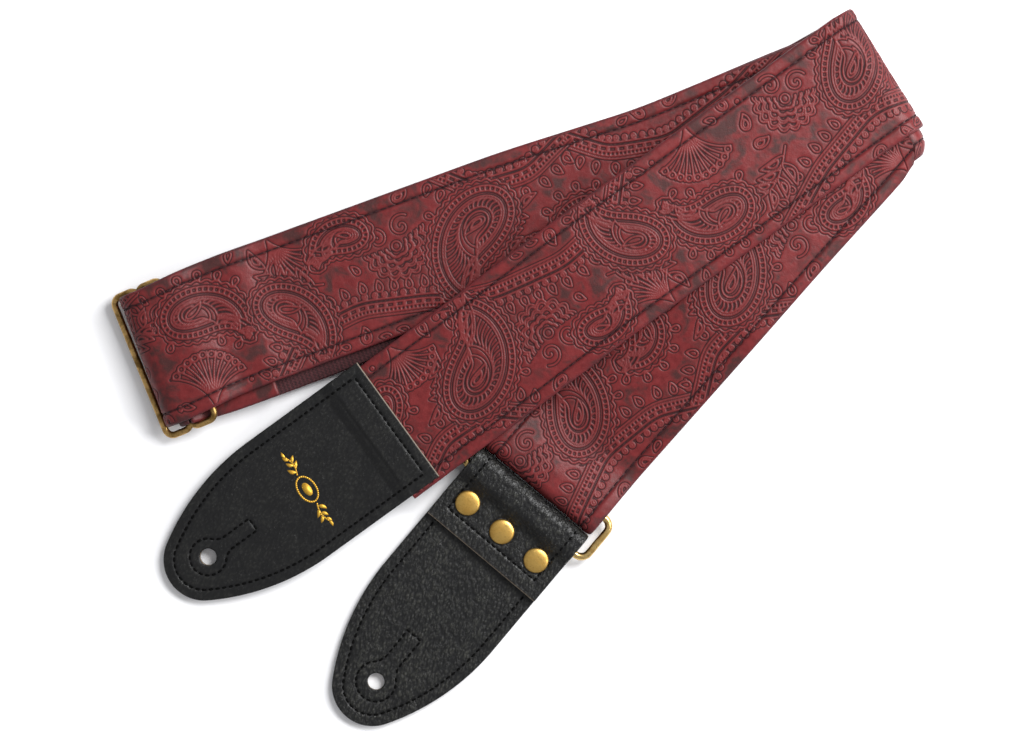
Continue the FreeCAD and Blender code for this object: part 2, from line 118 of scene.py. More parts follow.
# ---- the frame's own places ----
TOP_FOLD = pivot("top_run_unfold") * [1, 1, 0]
RING_BAR = pivot("ring_swing") * [1, 1, 0]
OUTER_BAR = pivot("tab_b_swing") * [1, 1, 0]
RING_Z = pivot("ring_swing")[2]
SLIDER = pivot("slider_tilt") * [1, 1, 0]
SLIDER_Z = pivot("slider_tilt")[2]
SIDE_FOLD = TOP_FOLD + [1.5, -5.2, 0.0]

# ---- ways in plan, in degrees: where runs head, where folds bulge and how their axes lie ----
SLIDER_TURN = 202.2
TOP_TURN = 215.9
TOP_BULGE = 31.8
TOP_AXIS = 301.8
SIDE_BULGE = 35.2
SIDE_AXIS = 305.2
TOP_RUN = heading(TOP_TURN)
FOLD_REACH = 25
LOOP_REACH = 14

# ---- levels of the plies, from the floor up ----
UNDER_Z = PLY + GAP
MIDDLE_Z = UNDER_Z + PLY + GAP
LOWER_Z = MIDDLE_Z + PLY + 1.0
UPPER_Z = LOWER_Z + PLY + GAP
TOP_Z = UPPER_Z + PLY + GAP
FOLD_Z = MIDDLE_Z + PLY + 0.5


# ---- curves in the plane, in millimetres ----
def resample(points, step, closed=False):
    """Even samples along a polyline."""
    points = np.asarray(points, float)
    if closed:
        points = np.vstack([points, points[:1]])
    length = travelled(points)
    count = max(2, int(round(length[-1] / step)) + 1)
    at = np.linspace(0, length[-1], count)
    even = np.column_stack([np.interp(at, length, points[:, k]) for k in range(points.shape[1])])
    return even[:-1] if closed else even


def eased(values, count):
    """A moving average that keeps both ends."""
    if count < 2:
        return values
    padded = np.concatenate([[values[0]] * count, values, [values[-1]] * count])
    window = np.hanning(2 * count + 1)
    window /= window.sum()
    return np.convolve(padded, window, "same")[count:-count]


def turned(points, angle, scale=1.0, shift=(0, 0)):
    """Plane points turned and scaled about the origin, then shifted."""
    c, s = math.cos(angle) * scale, math.sin(angle) * scale
    x, y = np.asarray(points, float).T
    return np.column_stack([x * c - y * s + shift[0], x * s + y * c + shift[1]])


def outward(points, amount):
    """A closed outline moved along its own normals, outwards for a positive amount."""
    ahead = np.roll(points, -1, axis=0) - np.roll(points, 1, axis=0)
    normal = -unit_rows(left_of(ahead))
    area = np.sum(points[:, 0] * np.roll(points[:, 1], -1) - points[:, 1] * np.roll(points[:, 0], -1))
    amount = np.broadcast_to(amount, (len(points),))
    return points + normal * (amount * (1 if area > 0 else -1))[:, None]


def paisley(length, breadth, curl, count=160):
    """A curled teardrop: round end at the far end, tip at the origin's side."""
    t = np.linspace(0, 2 * math.pi, count, endpoint=False)
    along = (1 - np.cos(t)) / 2
    across = breadth / 2 * np.sin(t) * np.sin(t / 2) ** 0.9 * 1.25
    steps = np.linspace(0, 1, 200)
    bend = curl * (1 - steps) ** 1.7
    x = np.concatenate([[0], np.cumsum(np.cos(bend[:-1]))]) * length / 200
    y = np.concatenate([[0], np.cumsum(np.sin(bend[:-1]))]) * length / 200
    angle = np.interp(along, steps, bend)
    cx, cy = np.interp(along, steps, x), np.interp(along, steps, y)
    shape = np.column_stack([cx - np.sin(angle) * across, cy + np.cos(angle) * across])
    body = np.array([np.interp(0.7, steps, x), np.interp(0.7, steps, y)])
    return shape - body


def leaf(length, breadth, bow=0.12, count=48):
    """A pointed leaf from the origin along +X."""
    t = np.linspace(0, 1, count // 2)
    half = breadth / 2 * np.sin(math.pi * t ** 0.85) ** 0.9
    spine = bow * length * np.sin(math.pi * t)
    upper = np.column_stack([t * length, spine + half])
    lower = np.column_stack([t * length, spine - half])[::-1]
    return np.vstack([upper, lower[1:-1]])


def ring_of(radius, count=20):
    """Points round a circle."""
    t = np.linspace(0, 2 * math.pi, count, endpoint=False)
    return np.column_stack([np.cos(t), np.sin(t)]) * radius


class Tooling:
    """The embossed pattern on the flat strap, which repeats along it."""

    STEP = 0.15
    PERIOD = 250.0
    REACH = 1.6

    def __init__(self, seed):
        self.random = random.Random(seed)
        self.size = (round(self.PERIOD / self.STEP), round(WIDTH / self.STEP) + 1)
        self.gap = np.full(self.size, 9.0, np.float32)
        self.depth = np.zeros(self.size, np.float32)

    def window(self, low, high):
        """Cells that cover a box of the strap, with the ones past its edges left out."""
        u = np.arange(math.floor(low[0] / self.STEP), math.ceil(high[0] / self.STEP) + 1)
        v_low = max(0, math.floor((low[1] + WIDTH / 2) / self.STEP))
        v_high = min(self.size[1] - 1, math.ceil((high[1] + WIDTH / 2) / self.STEP))
        v = np.arange(v_low, v_high + 1)
        return u, v

    def line(self, points, closed=False):
        """Presses a line: cells near it learn how far away it is."""
        samples = resample(points, 0.16, closed)
        for i in range(0, len(samples), 20):
            part = samples[i : i + 20]
            u, v = self.window(part.min(0) - self.REACH, part.max(0) + self.REACH)
            if not len(v):
                continue
            du = u[:, None] * self.STEP - part[:, 0]
            dv = v[:, None] * self.STEP - WIDTH / 2 - part[:, 1]
            near = np.sqrt((du[:, None, :] ** 2 + dv[None, :, :] ** 2).min(2))
            cells = np.ix_(u % self.size[0], v)
            self.gap[cells] = np.minimum(self.gap[cells], near)

    def clear(self, points, depth=None):
        """Wipes what lies inside an outline, so that a motif stands in front."""
        points = np.asarray(points)
        u, v = self.window(points.min(0), points.max(0))
        if not len(v):
            return
        x = (u * self.STEP)[:, None]
        y = (v * self.STEP - WIDTH / 2)[None, :]
        inside = np.zeros((len(u), len(v)), bool)
        for (ax, ay), (bx, by) in zip(points, np.roll(points, -1, axis=0)):
            if ay == by:
                continue
            crosses = (ay > y) != (by > y)
            inside ^= crosses & (x < (bx - ax) * (y - ay) / (by - ay) + ax)
        cells = np.ix_(u % self.size[0], v)
        gap = self.gap[cells]
        gap[inside] = 9.0
        self.gap[cells] = gap
        if depth is not None:
            deep = self.depth[cells]
            deep[inside] = depth
            self.depth[cells] = deep

    def free(self, u, v, radius):
        """True where a round spot of the strap still holds no line."""
        us, vs = self.window((u - radius, v - radius), (u + radius, v + radius))
        if len(vs) < 2 * radius / self.STEP * 0.75:
            return False
        return bool((self.gap[np.ix_(us % self.size[0], vs)] > 8).all())

    def drop(self, u, v, angle, length, breadth, curl=0.5):
        """A small double teardrop."""
        shape = turned(paisley(length, breadth, curl, 60), angle, 1, (u, v))
        self.clear(outward(shape, 0.6))
        self.line(shape, True)
        if breadth > 3:
            self.line((shape - [u, v]) * 0.52 + [u, v], True)

    def pearl(self, u, v, radius):
        self.line(turned(ring_of(radius), 0, 1, (u, v)), True)

    def leaf(self, u, v, angle, length, breadth):
        shape = turned(leaf(length, breadth), angle, 1, (u, v))
        self.clear(outward(shape, 0.5), 0.35)
        self.line(shape, True)
        if breadth > 2.6:
            inner = (shape - shape.mean(0)) * 0.5 + shape.mean(0)
            self.line(inner, True)

    def spray(self, u, v, angle, size, leaves=7):
        """A curved stem with leaves on both sides and one at its end."""
        t = np.linspace(0, 1, 30)
        bow = self.random.choice((-1, 1)) * 0.22
        stem = np.column_stack([t * size, bow * size * np.sin(math.pi * t * 0.8)])
        stem = turned(stem, angle, 1, (u, v))
        self.line(stem)
        for k in range(leaves):
            at = int(4 + 24 * k / leaves)
            ahead = stem[at + 1] - stem[at]
            facing = math.atan2(ahead[1], ahead[0])
            side = 1 if k % 2 else -1
            long = size * (0.42 - 0.02 * k)
            self.leaf(*stem[at], facing + side * 0.85, long, long * 0.36)
        ahead = stem[-1] - stem[-2]
        self.leaf(*stem[-1], math.atan2(ahead[1], ahead[0]), size * 0.4, size * 0.14)

    def scroll(self, u, v, angle, size, turns=1.6, hand=1):
        t = np.linspace(0, 1, 90)
        r = size * (0.08 + 0.92 * t)
        a = angle + hand * turns * 2 * math.pi * (1 - t)
        self.line(np.column_stack([u + r * np.cos(a), v + r * np.sin(a)]))

    def plume(self, u, v, angle, size, spread=1.5, rays=9):
        """A fan of curved strokes with a scalloped edge."""
        for k in range(rays):
            share = k / (rays - 1) - 0.5
            t = np.linspace(0, 1, 30)
            facing = angle + spread * share * (0.35 + 0.65 * t)
            r = size * t * (1 - 0.25 * abs(share) ** 1.5)
            stroke = np.column_stack([u + r * np.cos(facing), v + r * np.sin(facing)])
            self.line(stroke)
            if k < rays - 1:
                mid = angle + spread * (share + 0.5 / (rays - 1))
                end = size * 0.95 * (1 - 0.25 * abs(share) ** 1.5)
                self.pearl(u + end * math.cos(mid), v + end * math.sin(mid), size * 0.045 + 0.3)

    def flower(self, u, v, angle, size):
        """A fan flower: rows of scallops, each in front of the one behind."""
        for row, scale in enumerate((1.0, 0.76, 0.54, 0.34)):
            t = np.linspace(-1.75, 1.75, 120)
            lobes = 9 - 2 * row
            r = size * scale * (0.86 + 0.14 * np.abs(np.sin(t * lobes / 3.5 * math.pi)))
            edge = np.column_stack([u + r * np.cos(angle + t), v + r * np.sin(angle + t)])
            self.clear(edge, 0.55 if row % 2 else 0.2)
            self.line(edge)
            inner = (edge - [u, v]) * 0.9 + [u, v]
            self.line(inner)
        self.pearl(u, v, size * 0.14)
        for side in (-1, 1):
            self.scroll(
                u - size * 0.45 * math.cos(angle) - side * size * 0.4 * math.sin(angle),
                v - size * 0.45 * math.sin(angle) + side * size * 0.4 * math.cos(angle),
                angle + side * 2.2,
                size * 0.36,
                1.3,
                side,
            )

    def ribbon(self, path, fringe=1):
        """A flowing band: parallel lines with bars between them, and drops along one side."""
        path = resample(path, 0.5)
        path = np.column_stack([eased(c, 16) for c in path.T])
        aside = left_of(unit_rows(np.gradient(path, axis=0)))
        rim = np.vstack([path + aside * 5.2, (path - aside * 4.4)[::-1]])
        self.clear(rim, 0.2)
        for off in (-3.6, -2.5, -0.9, 0.9, 2.5):
            self.line(path + aside * off)
        for k in range(2, len(path) - 2, 3):
            self.line(np.array([path[k] - aside[k] * 1.1, path[k] - aside[k] * 2.3]))
        for k in range(3, len(path) - 3, 7):
            self.pearl(*path[k], 0.45)
            self.pearl(*(path[k] + aside[k] * 4.0), 0.95)
            self.pearl(*(path[k] + aside[k] * 4.0), 0.2)
        for k in range(6, len(path) - 6, 11):
            out = path[k] - aside[k] * fringe * 6.4
            self.drop(*out, math.atan2(*(aside[k] * fringe)[::-1]), 4.4, 2.6, 0.4)

    def big_paisley(self, u, v, angle, length, breadth, curl, flames=True):
        """A large paisley with beaded and scalloped borders round a filled heart."""
        outline = resample(paisley(length, breadth, curl, 240), 0.5, True)
        outline = turned(outline, angle, 1, (u, v))
        span = np.arange(len(outline)) * 0.5
        fringe = outward(outline, 1.5 + 0.9 * np.abs(np.sin(math.pi * span / 3.2)))
        self.clear(outward(outline, 3.0))
        if flames:
            for k in range(3, len(outline) - 3, 11):
                ahead = outline[(k + 1) % len(outline)] - outline[k - 1]
                out = outward(outline, 4.6)[k]
                facing = math.atan2(*(outline[k] - out)[::-1])
                if self.free(*out, 0.9) and np.linalg.norm(ahead) > 0.4:
                    self.drop(*out, facing + math.pi, 3.6, 2.3, 0.3)
        self.line(fringe, True)
        self.clear(outline, 0.15)
        self.line(outline, True)
        levels = (1.9, 3.7, 4.6)
        rims = [outward(outline, -level) for level in levels if level < breadth * 0.36]
        for rim in rims:
            self.clear(rim, 0.5)
            self.line(rim, True)
        if rims:
            lane = outward(outline, -0.95)
            for k in range(0, len(lane), 4):
                ahead = unit(lane[(k + 1) % len(lane)] - lane[k - 1] + 1e-6)
                cross = np.array([-ahead[1], ahead[0]]) * 0.7
                self.line(np.array([lane[k] - cross, lane[k] + cross]))
        centre = np.array([u, v])
        heart = (outline - centre) * 0.42 + centre
        for k in range(0, len(rims[-1] if rims else outline), 7):
            edge = (rims[-1] if rims else outline)[k]
            inner = heart[k]
            bow = np.array([inner[1] - edge[1], edge[0] - inner[0]]) * 0.16
            t = np.linspace(0.08, 0.86, 12)[:, None]
            self.line(edge + (inner - edge) * t + bow * np.sin(math.pi * t))
        self.clear(heart, 0.1)
        self.line(heart, True)
        self.line((outline - centre) * 0.3 + centre, True)
        self.drop(u, v, angle, length * 0.2, breadth * 0.14)

    def scatter(self):
        """Fills the ground that is left with ever smaller motifs."""
        kinds = [(7.4, 200), (5.4, 400), (3.4, 900), (2.3, 900), (1.7, 260)]
        for radius, tries in kinds:
            for _ in range(tries):
                u = self.random.uniform(0, self.PERIOD)
                v = self.random.uniform(-WIDTH / 2, WIDTH / 2)
                angle = self.random.uniform(0, 2 * math.pi)
                if not self.free(u, v, radius):
                    continue
                if radius > 7:
                    start = np.array([u, v]) - 6.5 * heading(math.degrees(angle))[:2]
                    self.spray(*start, angle, 12, 5)
                elif radius > 5:
                    start = np.array([u, v]) - 5 * heading(math.degrees(angle))[:2]
                    self.leaf(*start, angle - 0.45, 9.5, 3.6)
                    self.leaf(*start, angle + 0.45, 9.0, 3.4)
                elif radius > 3:
                    self.drop(u, v, angle, 6.2, 3.6, 0.8)
                elif radius > 2:
                    self.drop(u, v, angle, 4.2, 2.2, 0.5)
                else:
                    self.pearl(u, v, 0.5)

    def layout(self):
        """The large motifs, listed one by one, along one repeat of the pattern."""
        self.ribbon([(-8, 27), (10, 14), (34, 10), (60, 17), (84, 29)], 1)
        self.ribbon([(118, -29), (132, -14), (156, -11), (182, -17), (206, -28)], -1)
        self.ribbon([(196, 29), (210, 16), (230, 15), (248, 25)], 1)
        for u, v, angle, size in ((92, -25, 1.3, 20), (132, 24, -1.3, 19), (226, -25, 1.7, 18)):
            self.plume(u, v, angle, size, 1.7, 11)
        self.spray(66, 2, 0.3, 24, 8)
        self.spray(146, 2, 2.4, 22, 8)
        self.spray(213, -14, 0.9, 20, 8)
        self.spray(4, -10, -0.4, 18, 7)
        self.flower(56, -12, 1.1, 12)
        self.flower(176, 6, -1.4, 12.5)
        self.big_paisley(30, -6, 0.5, 48, 23, 1.9)
        self.big_paisley(98, 9, 3.4, 38, 18, -2.1)
        self.big_paisley(130, -2, 2.7, 40, 19, -1.8)
        self.big_paisley(160, 16, 5.7, 27, 13, 2.2, False)
        self.big_paisley(207, 4, 0.2, 50, 24, 2.0)
        self.big_paisley(240, -8, 4.2, 26, 13, -2.2)
        self.scatter()

    def sample(self, field, u, v):
        """A field's value at places on the strap."""
        x = (np.asarray(u) / self.STEP) % self.size[0]
        y = np.clip((np.asarray(v) + WIDTH / 2) / self.STEP, 0, self.size[1] - 1.001)
        i, j = np.floor(x).astype(int), np.floor(y).astype(int)
        a, b = x - i, y - j
        k = (i + 1) % self.size[0]
        i %= self.size[0]
        low = field[i, j] * (1 - b) + field[i, j + 1] * b
        high = field[k, j] * (1 - b) + field[k, j + 1] * b
        return low * (1 - a) + high * a


TOOLING = Tooling(11)
TOOLING.layout()
PLAIN = 2.4
NEAR = TOOLING.gap
NEAREST = np.minimum(NEAR, PLAIN)
RIDGE = np.exp(-((NEAR / 0.24) ** 2))
GROOVE = np.exp(-(((NEAR - 0.56) / 0.24) ** 2))
DEEP = TOOLING.depth
RELIEF = 0.08 * RIDGE - 0.2 * GROOVE - 0.05 * DEEP


# ---- meshes ----
def new_piece(name, points, faces, materials, smoothed=True, indices=None):
    """A mesh object from points in millimetres, ready to ride."""
    mesh = bpy.data.meshes.new(name)
    points = np.asarray(points, np.float64) * MM
    corners = sum(len(face) for face in faces) if not isinstance(faces, np.ndarray) else faces.size
    mesh.vertices.add(len(points))
    mesh.vertices.foreach_set("co", points.astype(np.float32).ravel())
    sizes = np.array([len(face) for face in faces], np.int32)
    flat = np.fromiter((k for face in faces for k in face), np.int32, corners)
    mesh.loops.add(corners)
    mesh.loops.foreach_set("vertex_index", flat)
    mesh.polygons.add(len(sizes))
    mesh.polygons.foreach_set("loop_start", np.concatenate([[0], np.cumsum(sizes)[:-1]]).astype(np.int32))
    mesh.update(calc_edges=True)
    mesh.validate()
    if smoothed:
        mesh.polygons.foreach_set("use_smooth", np.ones(len(sizes), bool))
    for material in materials:
        mesh.materials.append(material)
    if indices is not None:
        mesh.polygons.foreach_set("material_index", np.asarray(indices, np.int32))
    piece = bpy.data.objects.new(name, mesh)
    bpy.context.scene.collection.objects.link(piece)
    return piece


def keep_value(piece, name, values):
    """Stores a number at each point of a piece for its material to read."""
    layer = piece.data.attributes.new(name, "FLOAT", "POINT")
    layer.data.foreach_set("value", np.asarray(values, np.float32).ravel())


def tube_faces(rows, columns, flip):
    """Quads of a closed ring of columns swept over rows, with an end cap at both ends."""
    i, j = np.meshgrid(np.arange(rows - 1), np.arange(columns), indexing="ij")
    k = (j + 1) % columns
    quads = np.stack([i * columns + j, (i + 1) * columns + j, (i + 1) * columns + k, i * columns + k], -1)
    quads = quads.reshape(-1, 4)
    first = np.arange(columns)
    last = (rows - 1) * columns + np.arange(columns)[::-1]
    faces = quads[:, ::-1].tolist() if flip else quads.tolist()
    caps = [first[::-1].tolist(), last[::-1].tolist()] if flip else [first.tolist(), last.tolist()]
    return faces + caps


class Lay:
    """Stations along the strap: the middle of its face, the way across it and the way out of it."""

    def __init__(self, centre, side, out, u):
        self.centre = np.asarray(centre, float)
        self.side = np.asarray(side, float)
        self.out = np.asarray(out, float)
        self.u = np.asarray(u, float)

    def reversed(self):
        return Lay(self.centre[::-1], self.side[::-1], self.out[::-1], self.u[-1] - self.u[::-1])

    def moved(self, step):
        return Lay(self.centre + step, self.side, self.out, self.u)

    def then(self, other, moving="first"):
        """This stretch and the next; the one that is moving is brought to meet the other."""
        step = other.centre[0] - self.centre[-1]
        first, last = (self.moved(step), other) if moving == "first" else (self, other.moved(-step))
        return Lay(
            np.vstack([first.centre, last.centre[1:]]),
            np.vstack([first.side, last.side[1:]]),
            np.vstack([first.out, last.out[1:]]),
            np.concatenate([first.u, last.u[1:] + first.u[-1] - last.u[0]]),
        )


def profile(knots, s):
    """A value along a line from a few knots (place, value)."""
    knots = np.asarray(knots, float)
    return np.interp(s, knots[:, 0], knots[:, 1])


def run(origin, degrees, length, step, levels, face_up, sway=((0, 0),), turns=(), soft=6.0):
    """A straight run of the strap from an origin, with the height of its face along it.

    Near a fold the way across turns to the fold's axis: turns holds (place, reach, degrees)."""
    count = max(2, int(round((length[1] - length[0]) / step)) + 1)
    s = np.linspace(length[0], length[1], count)
    across = heading(degrees + 90)
    z = eased(profile(levels, s), int(soft / step))
    off = eased(profile(sway, s), int(20 / step))
    centre = origin + np.outer(s, heading(degrees)) + np.outer(off, across)
    centre[:, 2] = z
    angle = np.full(count, float(degrees + 90))
    for place, reach, axis in turns:
        near = 1 - smooth(0, reach, np.abs(s - place))
        angle += near * ((axis - (degrees + 90) + 180) % 360 - 180)
    side = np.column_stack([np.cos(np.radians(angle)), np.sin(np.radians(angle)), np.zeros(count)])
    out = np.tile(UP if face_up else -UP, (count, 1))
    return Lay(centre, side, out, s)


def bend(origin, bulge, z, radius, step, rising=True, inside=False, axis=None, bulging=1.0):
    """A half turn of the strap about an axis across it, from below to above or the other way."""
    count = max(7, int(round(math.pi * radius / step)) + 1)
    a = np.linspace(0, math.pi, count)
    if rising:
        a = a[::-1]
    ahead = heading(bulge)
    radial = np.outer(np.sin(a), ahead) + np.outer(np.cos(a), UP)
    centre = origin + (np.outer(np.sin(a) * bulging, ahead) + np.outer(np.cos(a), UP)) * radius
    centre[:, 2] += z
    side = np.tile(heading(bulge + 90) if axis is None else axis, (count, 1))
    return Lay(centre, side, -radial if inside else radial, np.linspace(0, math.pi * radius, count))


def directions(lay):
    """The way along a stretch, the way out of it, and how much wider a slanted station is."""
    tangent = unit_rows(np.gradient(lay.centre, axis=0))
    out = unit_rows(np.cross(tangent, lay.side))
    out *= np.sign(np.sum(out * lay.out, axis=1))[:, None]
    across = np.cross(out, tangent)
    across *= np.sign(np.sum(across * lay.side, axis=1))[:, None]
    stretch = 1 / np.maximum(np.sum(across * lay.side, axis=1), 0.8)
    return tangent, out, stretch


def edge_columns(half, step):
    """Places across the strap, closer together at its rounded edges, and their drop there."""
    rim = [(0.0, -1.2), (0.0, -0.75), (0.08, -0.38), (0.3, -0.13), (0.65, -0.02)]
    inner = np.linspace(-(half - 1.0), half - 1.0, max(3, int(round((2 * half - 2) / step)) + 1))
    low = [(-half + inset, drop) for inset, drop in rim]
    high = [(half - inset, drop) for inset, drop in rim[::-1]]
    t = np.array([p[0] for p in low] + list(inner) + [p[0] for p in high])
    drop = np.array([p[1] for p in low] + [0.0] * len(inner) + [p[1] for p in high])
    return t, drop


def corner_pull(points, t):
    """Draws the side fold's free corners back, so that they are round in plan."""
    q = (points - SIDE_FOLD) @ heading(SIDE_BULGE)
    pull = 5.0 * np.clip((np.abs(t) - 18) / 8, 0, 1) ** 2 * smooth(-12, 2, q)
    return points - pull[..., None] * heading(SIDE_BULGE)


def strap_face(name, lay, step, u_shift, embossed=True):
    """The leather face of a stretch of strap: rounded edges, stitched channels, tooling."""
    t, drop = edge_columns(WIDTH / 2, step)
    tangent, out, stretch = directions(lay)
    lean = stretch * np.sum(lay.side * tangent, axis=1)
    u = lay.u[:, None] + np.outer(lean, t) + u_shift
    v = np.broadcast_to(t, u.shape)
    height = np.broadcast_to(drop - 0.12, u.shape).copy()
    band = smooth(20.7, 22.0, np.abs(t)) * (1 - smooth(24.0, 25.2, np.abs(t)))
    channel = np.exp(-(((np.abs(t) - (WIDTH / 2 - STITCH_IN)) / 0.5) ** 2))
    height += 0.22 * band - 0.42 * channel
    inside = 1 - smooth(24.4, 25.1, np.abs(t))
    values = {}
    values["near"] = TOOLING.sample(NEAREST, u, v) if embossed else np.full(u.shape, PLAIN)
    values["near"] += (PLAIN - values["near"]) * (1 - inside)
    values["deep"] = TOOLING.sample(DEEP, u, v) * inside if embossed else np.zeros(u.shape)
    if embossed:
        height += TOOLING.sample(RELIEF, u, v) * inside
    height += 0.05 * np.sin(u * 0.31 + 1.3 * np.sin(t * 0.2)) * np.sin(u * 0.117 + t * 0.17) * inside
    points = lay.centre[:, None, :] + lay.side[:, None, :] * (t[None, :, None] * stretch[:, None, None])
    points = points + out[:, None, :] * height[:, :, None]
    if name.startswith("strap_lower"):
        points = corner_pull(points, t[None, :])
    flip = np.dot(np.cross(tangent[0], lay.side[0]), out[0]) < 0
    faces = tube_faces(len(u), len(t), flip)
    piece = new_piece(name, points.reshape(-1, 3), faces, [LEATHER])
    for key, field in values.items():
        keep_value(piece, key, field)
    keep_value(piece, "along", u)
    keep_value(piece, "across", v)
    keep_value(piece, "channel", np.broadcast_to(channel, u.shape))
    keep_value(piece, "rim", np.broadcast_to(smooth(23.9, 25.3, np.abs(t)), u.shape))
    return piece


def strap_backing(name, lay, thin=4):
    """The woven band under the face."""
    keep = np.unique(np.concatenate([np.arange(0, len(lay.u), thin), [len(lay.u) - 1]]))
    lay = Lay(lay.centre[keep], lay.side[keep], lay.out[keep], lay.u[keep])
    half = 25.1
    section = [(-half, -2.15), (-half, -1.5), (-half + 0.2, -1.27), (half - 0.2, -1.27)]
    section += [(half, -1.5), (half, -2.15), (half - 0.25, -2.35), (-half + 0.25, -2.35)]
    t = np.array([p[0] for p in section])
    h = np.array([p[1] for p in section])
    tangent, out, stretch = directions(lay)
    points = lay.centre[:, None, :] + lay.side[:, None, :] * (t[None, :, None] * stretch[:, None, None])
    points = points + out[:, None, :] * h[None, :, None]
    if name.startswith("strap_lower"):
        points = corner_pull(points, t[None, :])
    flip = np.dot(np.cross(tangent[0], lay.side[0]), out[0]) < 0
    piece = new_piece(name, points.reshape(-1, 3), tube_faces(len(lay.u), len(t), flip), [WEBBING], False)
    keep_value(piece, "along", np.broadcast_to(lay.u[:, None], (len(lay.u), len(t))))
    keep_value(piece, "across", np.broadcast_to(t, (len(lay.u), len(t))))
    return piece


def stitch_row(places, ways, outs, long=2.2, wide=0.5, high=0.34):
    """Short rounded threads, one at each place, as points and faces."""
    ring = 6
    shape = [(-0.5, 0.25), (-0.36, 0.85), (0.0, 1.0), (0.36, 0.85), (0.5, 0.25)]
    points, faces = [], []
    for place, way, out in zip(places, ways, outs):
        way = unit(way)
        cross = unit(np.cross(out, way))
        base = len(points)
        for share, fat in shape:
            lift = 0.12 * (1 - (2 * share) ** 2)
            for k in range(ring):
                a = 2 * math.pi * k / ring
                points.append(
                    place
                    + way * share * long
                    + cross * math.cos(a) * fat * wide / 2
                    + out * (math.sin(a) * fat * high / 2 + lift)
                )
        for row in range(len(shape) - 1):
            for k in range(ring):
                a, b = base + row * ring + k, base + row * ring + (k + 1) % ring
                faces.append([a, b, b + ring, a + ring])
        faces.append([base + k for k in range(ring)][::-1])
        end = base + (len(shape) - 1) * ring
        faces.append([end + k for k in range(ring)])
    return points, faces


def strap_stitches(name, lay):
    """Two rows of machine stitches along a stretch of strap."""
    tangent, out, stretch = directions(lay)
    at = np.arange(STITCH_PITCH / 2, lay.u[-1], STITCH_PITCH)
    places, ways, outs = [], [], []
    for t in (-(WIDTH / 2 - STITCH_IN), WIDTH / 2 - STITCH_IN):
        line = lay.centre + lay.side * (t * stretch)[:, None] + out * -0.42
        if name.startswith("strap_lower"):
            line = corner_pull(line, t)
        spot = np.column_stack([np.interp(at, lay.u, line[:, k]) for k in range(3)])
        way = np.column_stack([np.interp(at, lay.u, tangent[:, k]) for k in range(3)])
        rise = np.column_stack([np.interp(at, lay.u, out[:, k]) for k in range(3)])
        places += list(spot)
        ways += list(way)
        outs += list(unit_rows(rise))
    points, faces = stitch_row(places, ways, outs)
    return new_piece(name, points, faces, [THREAD])


# ---- materials ----
def tone(red, green, blue):
    """A colour on the usual 0-255 scale, as linear light."""
    shares = [c / 255 for c in (red, green, blue)]
    linear = [c / 12.92 if c <= 10 / 255 else ((c + 0.055) / 1.055) ** 2.4 for c in shares]
    return (*linear, 1.0)


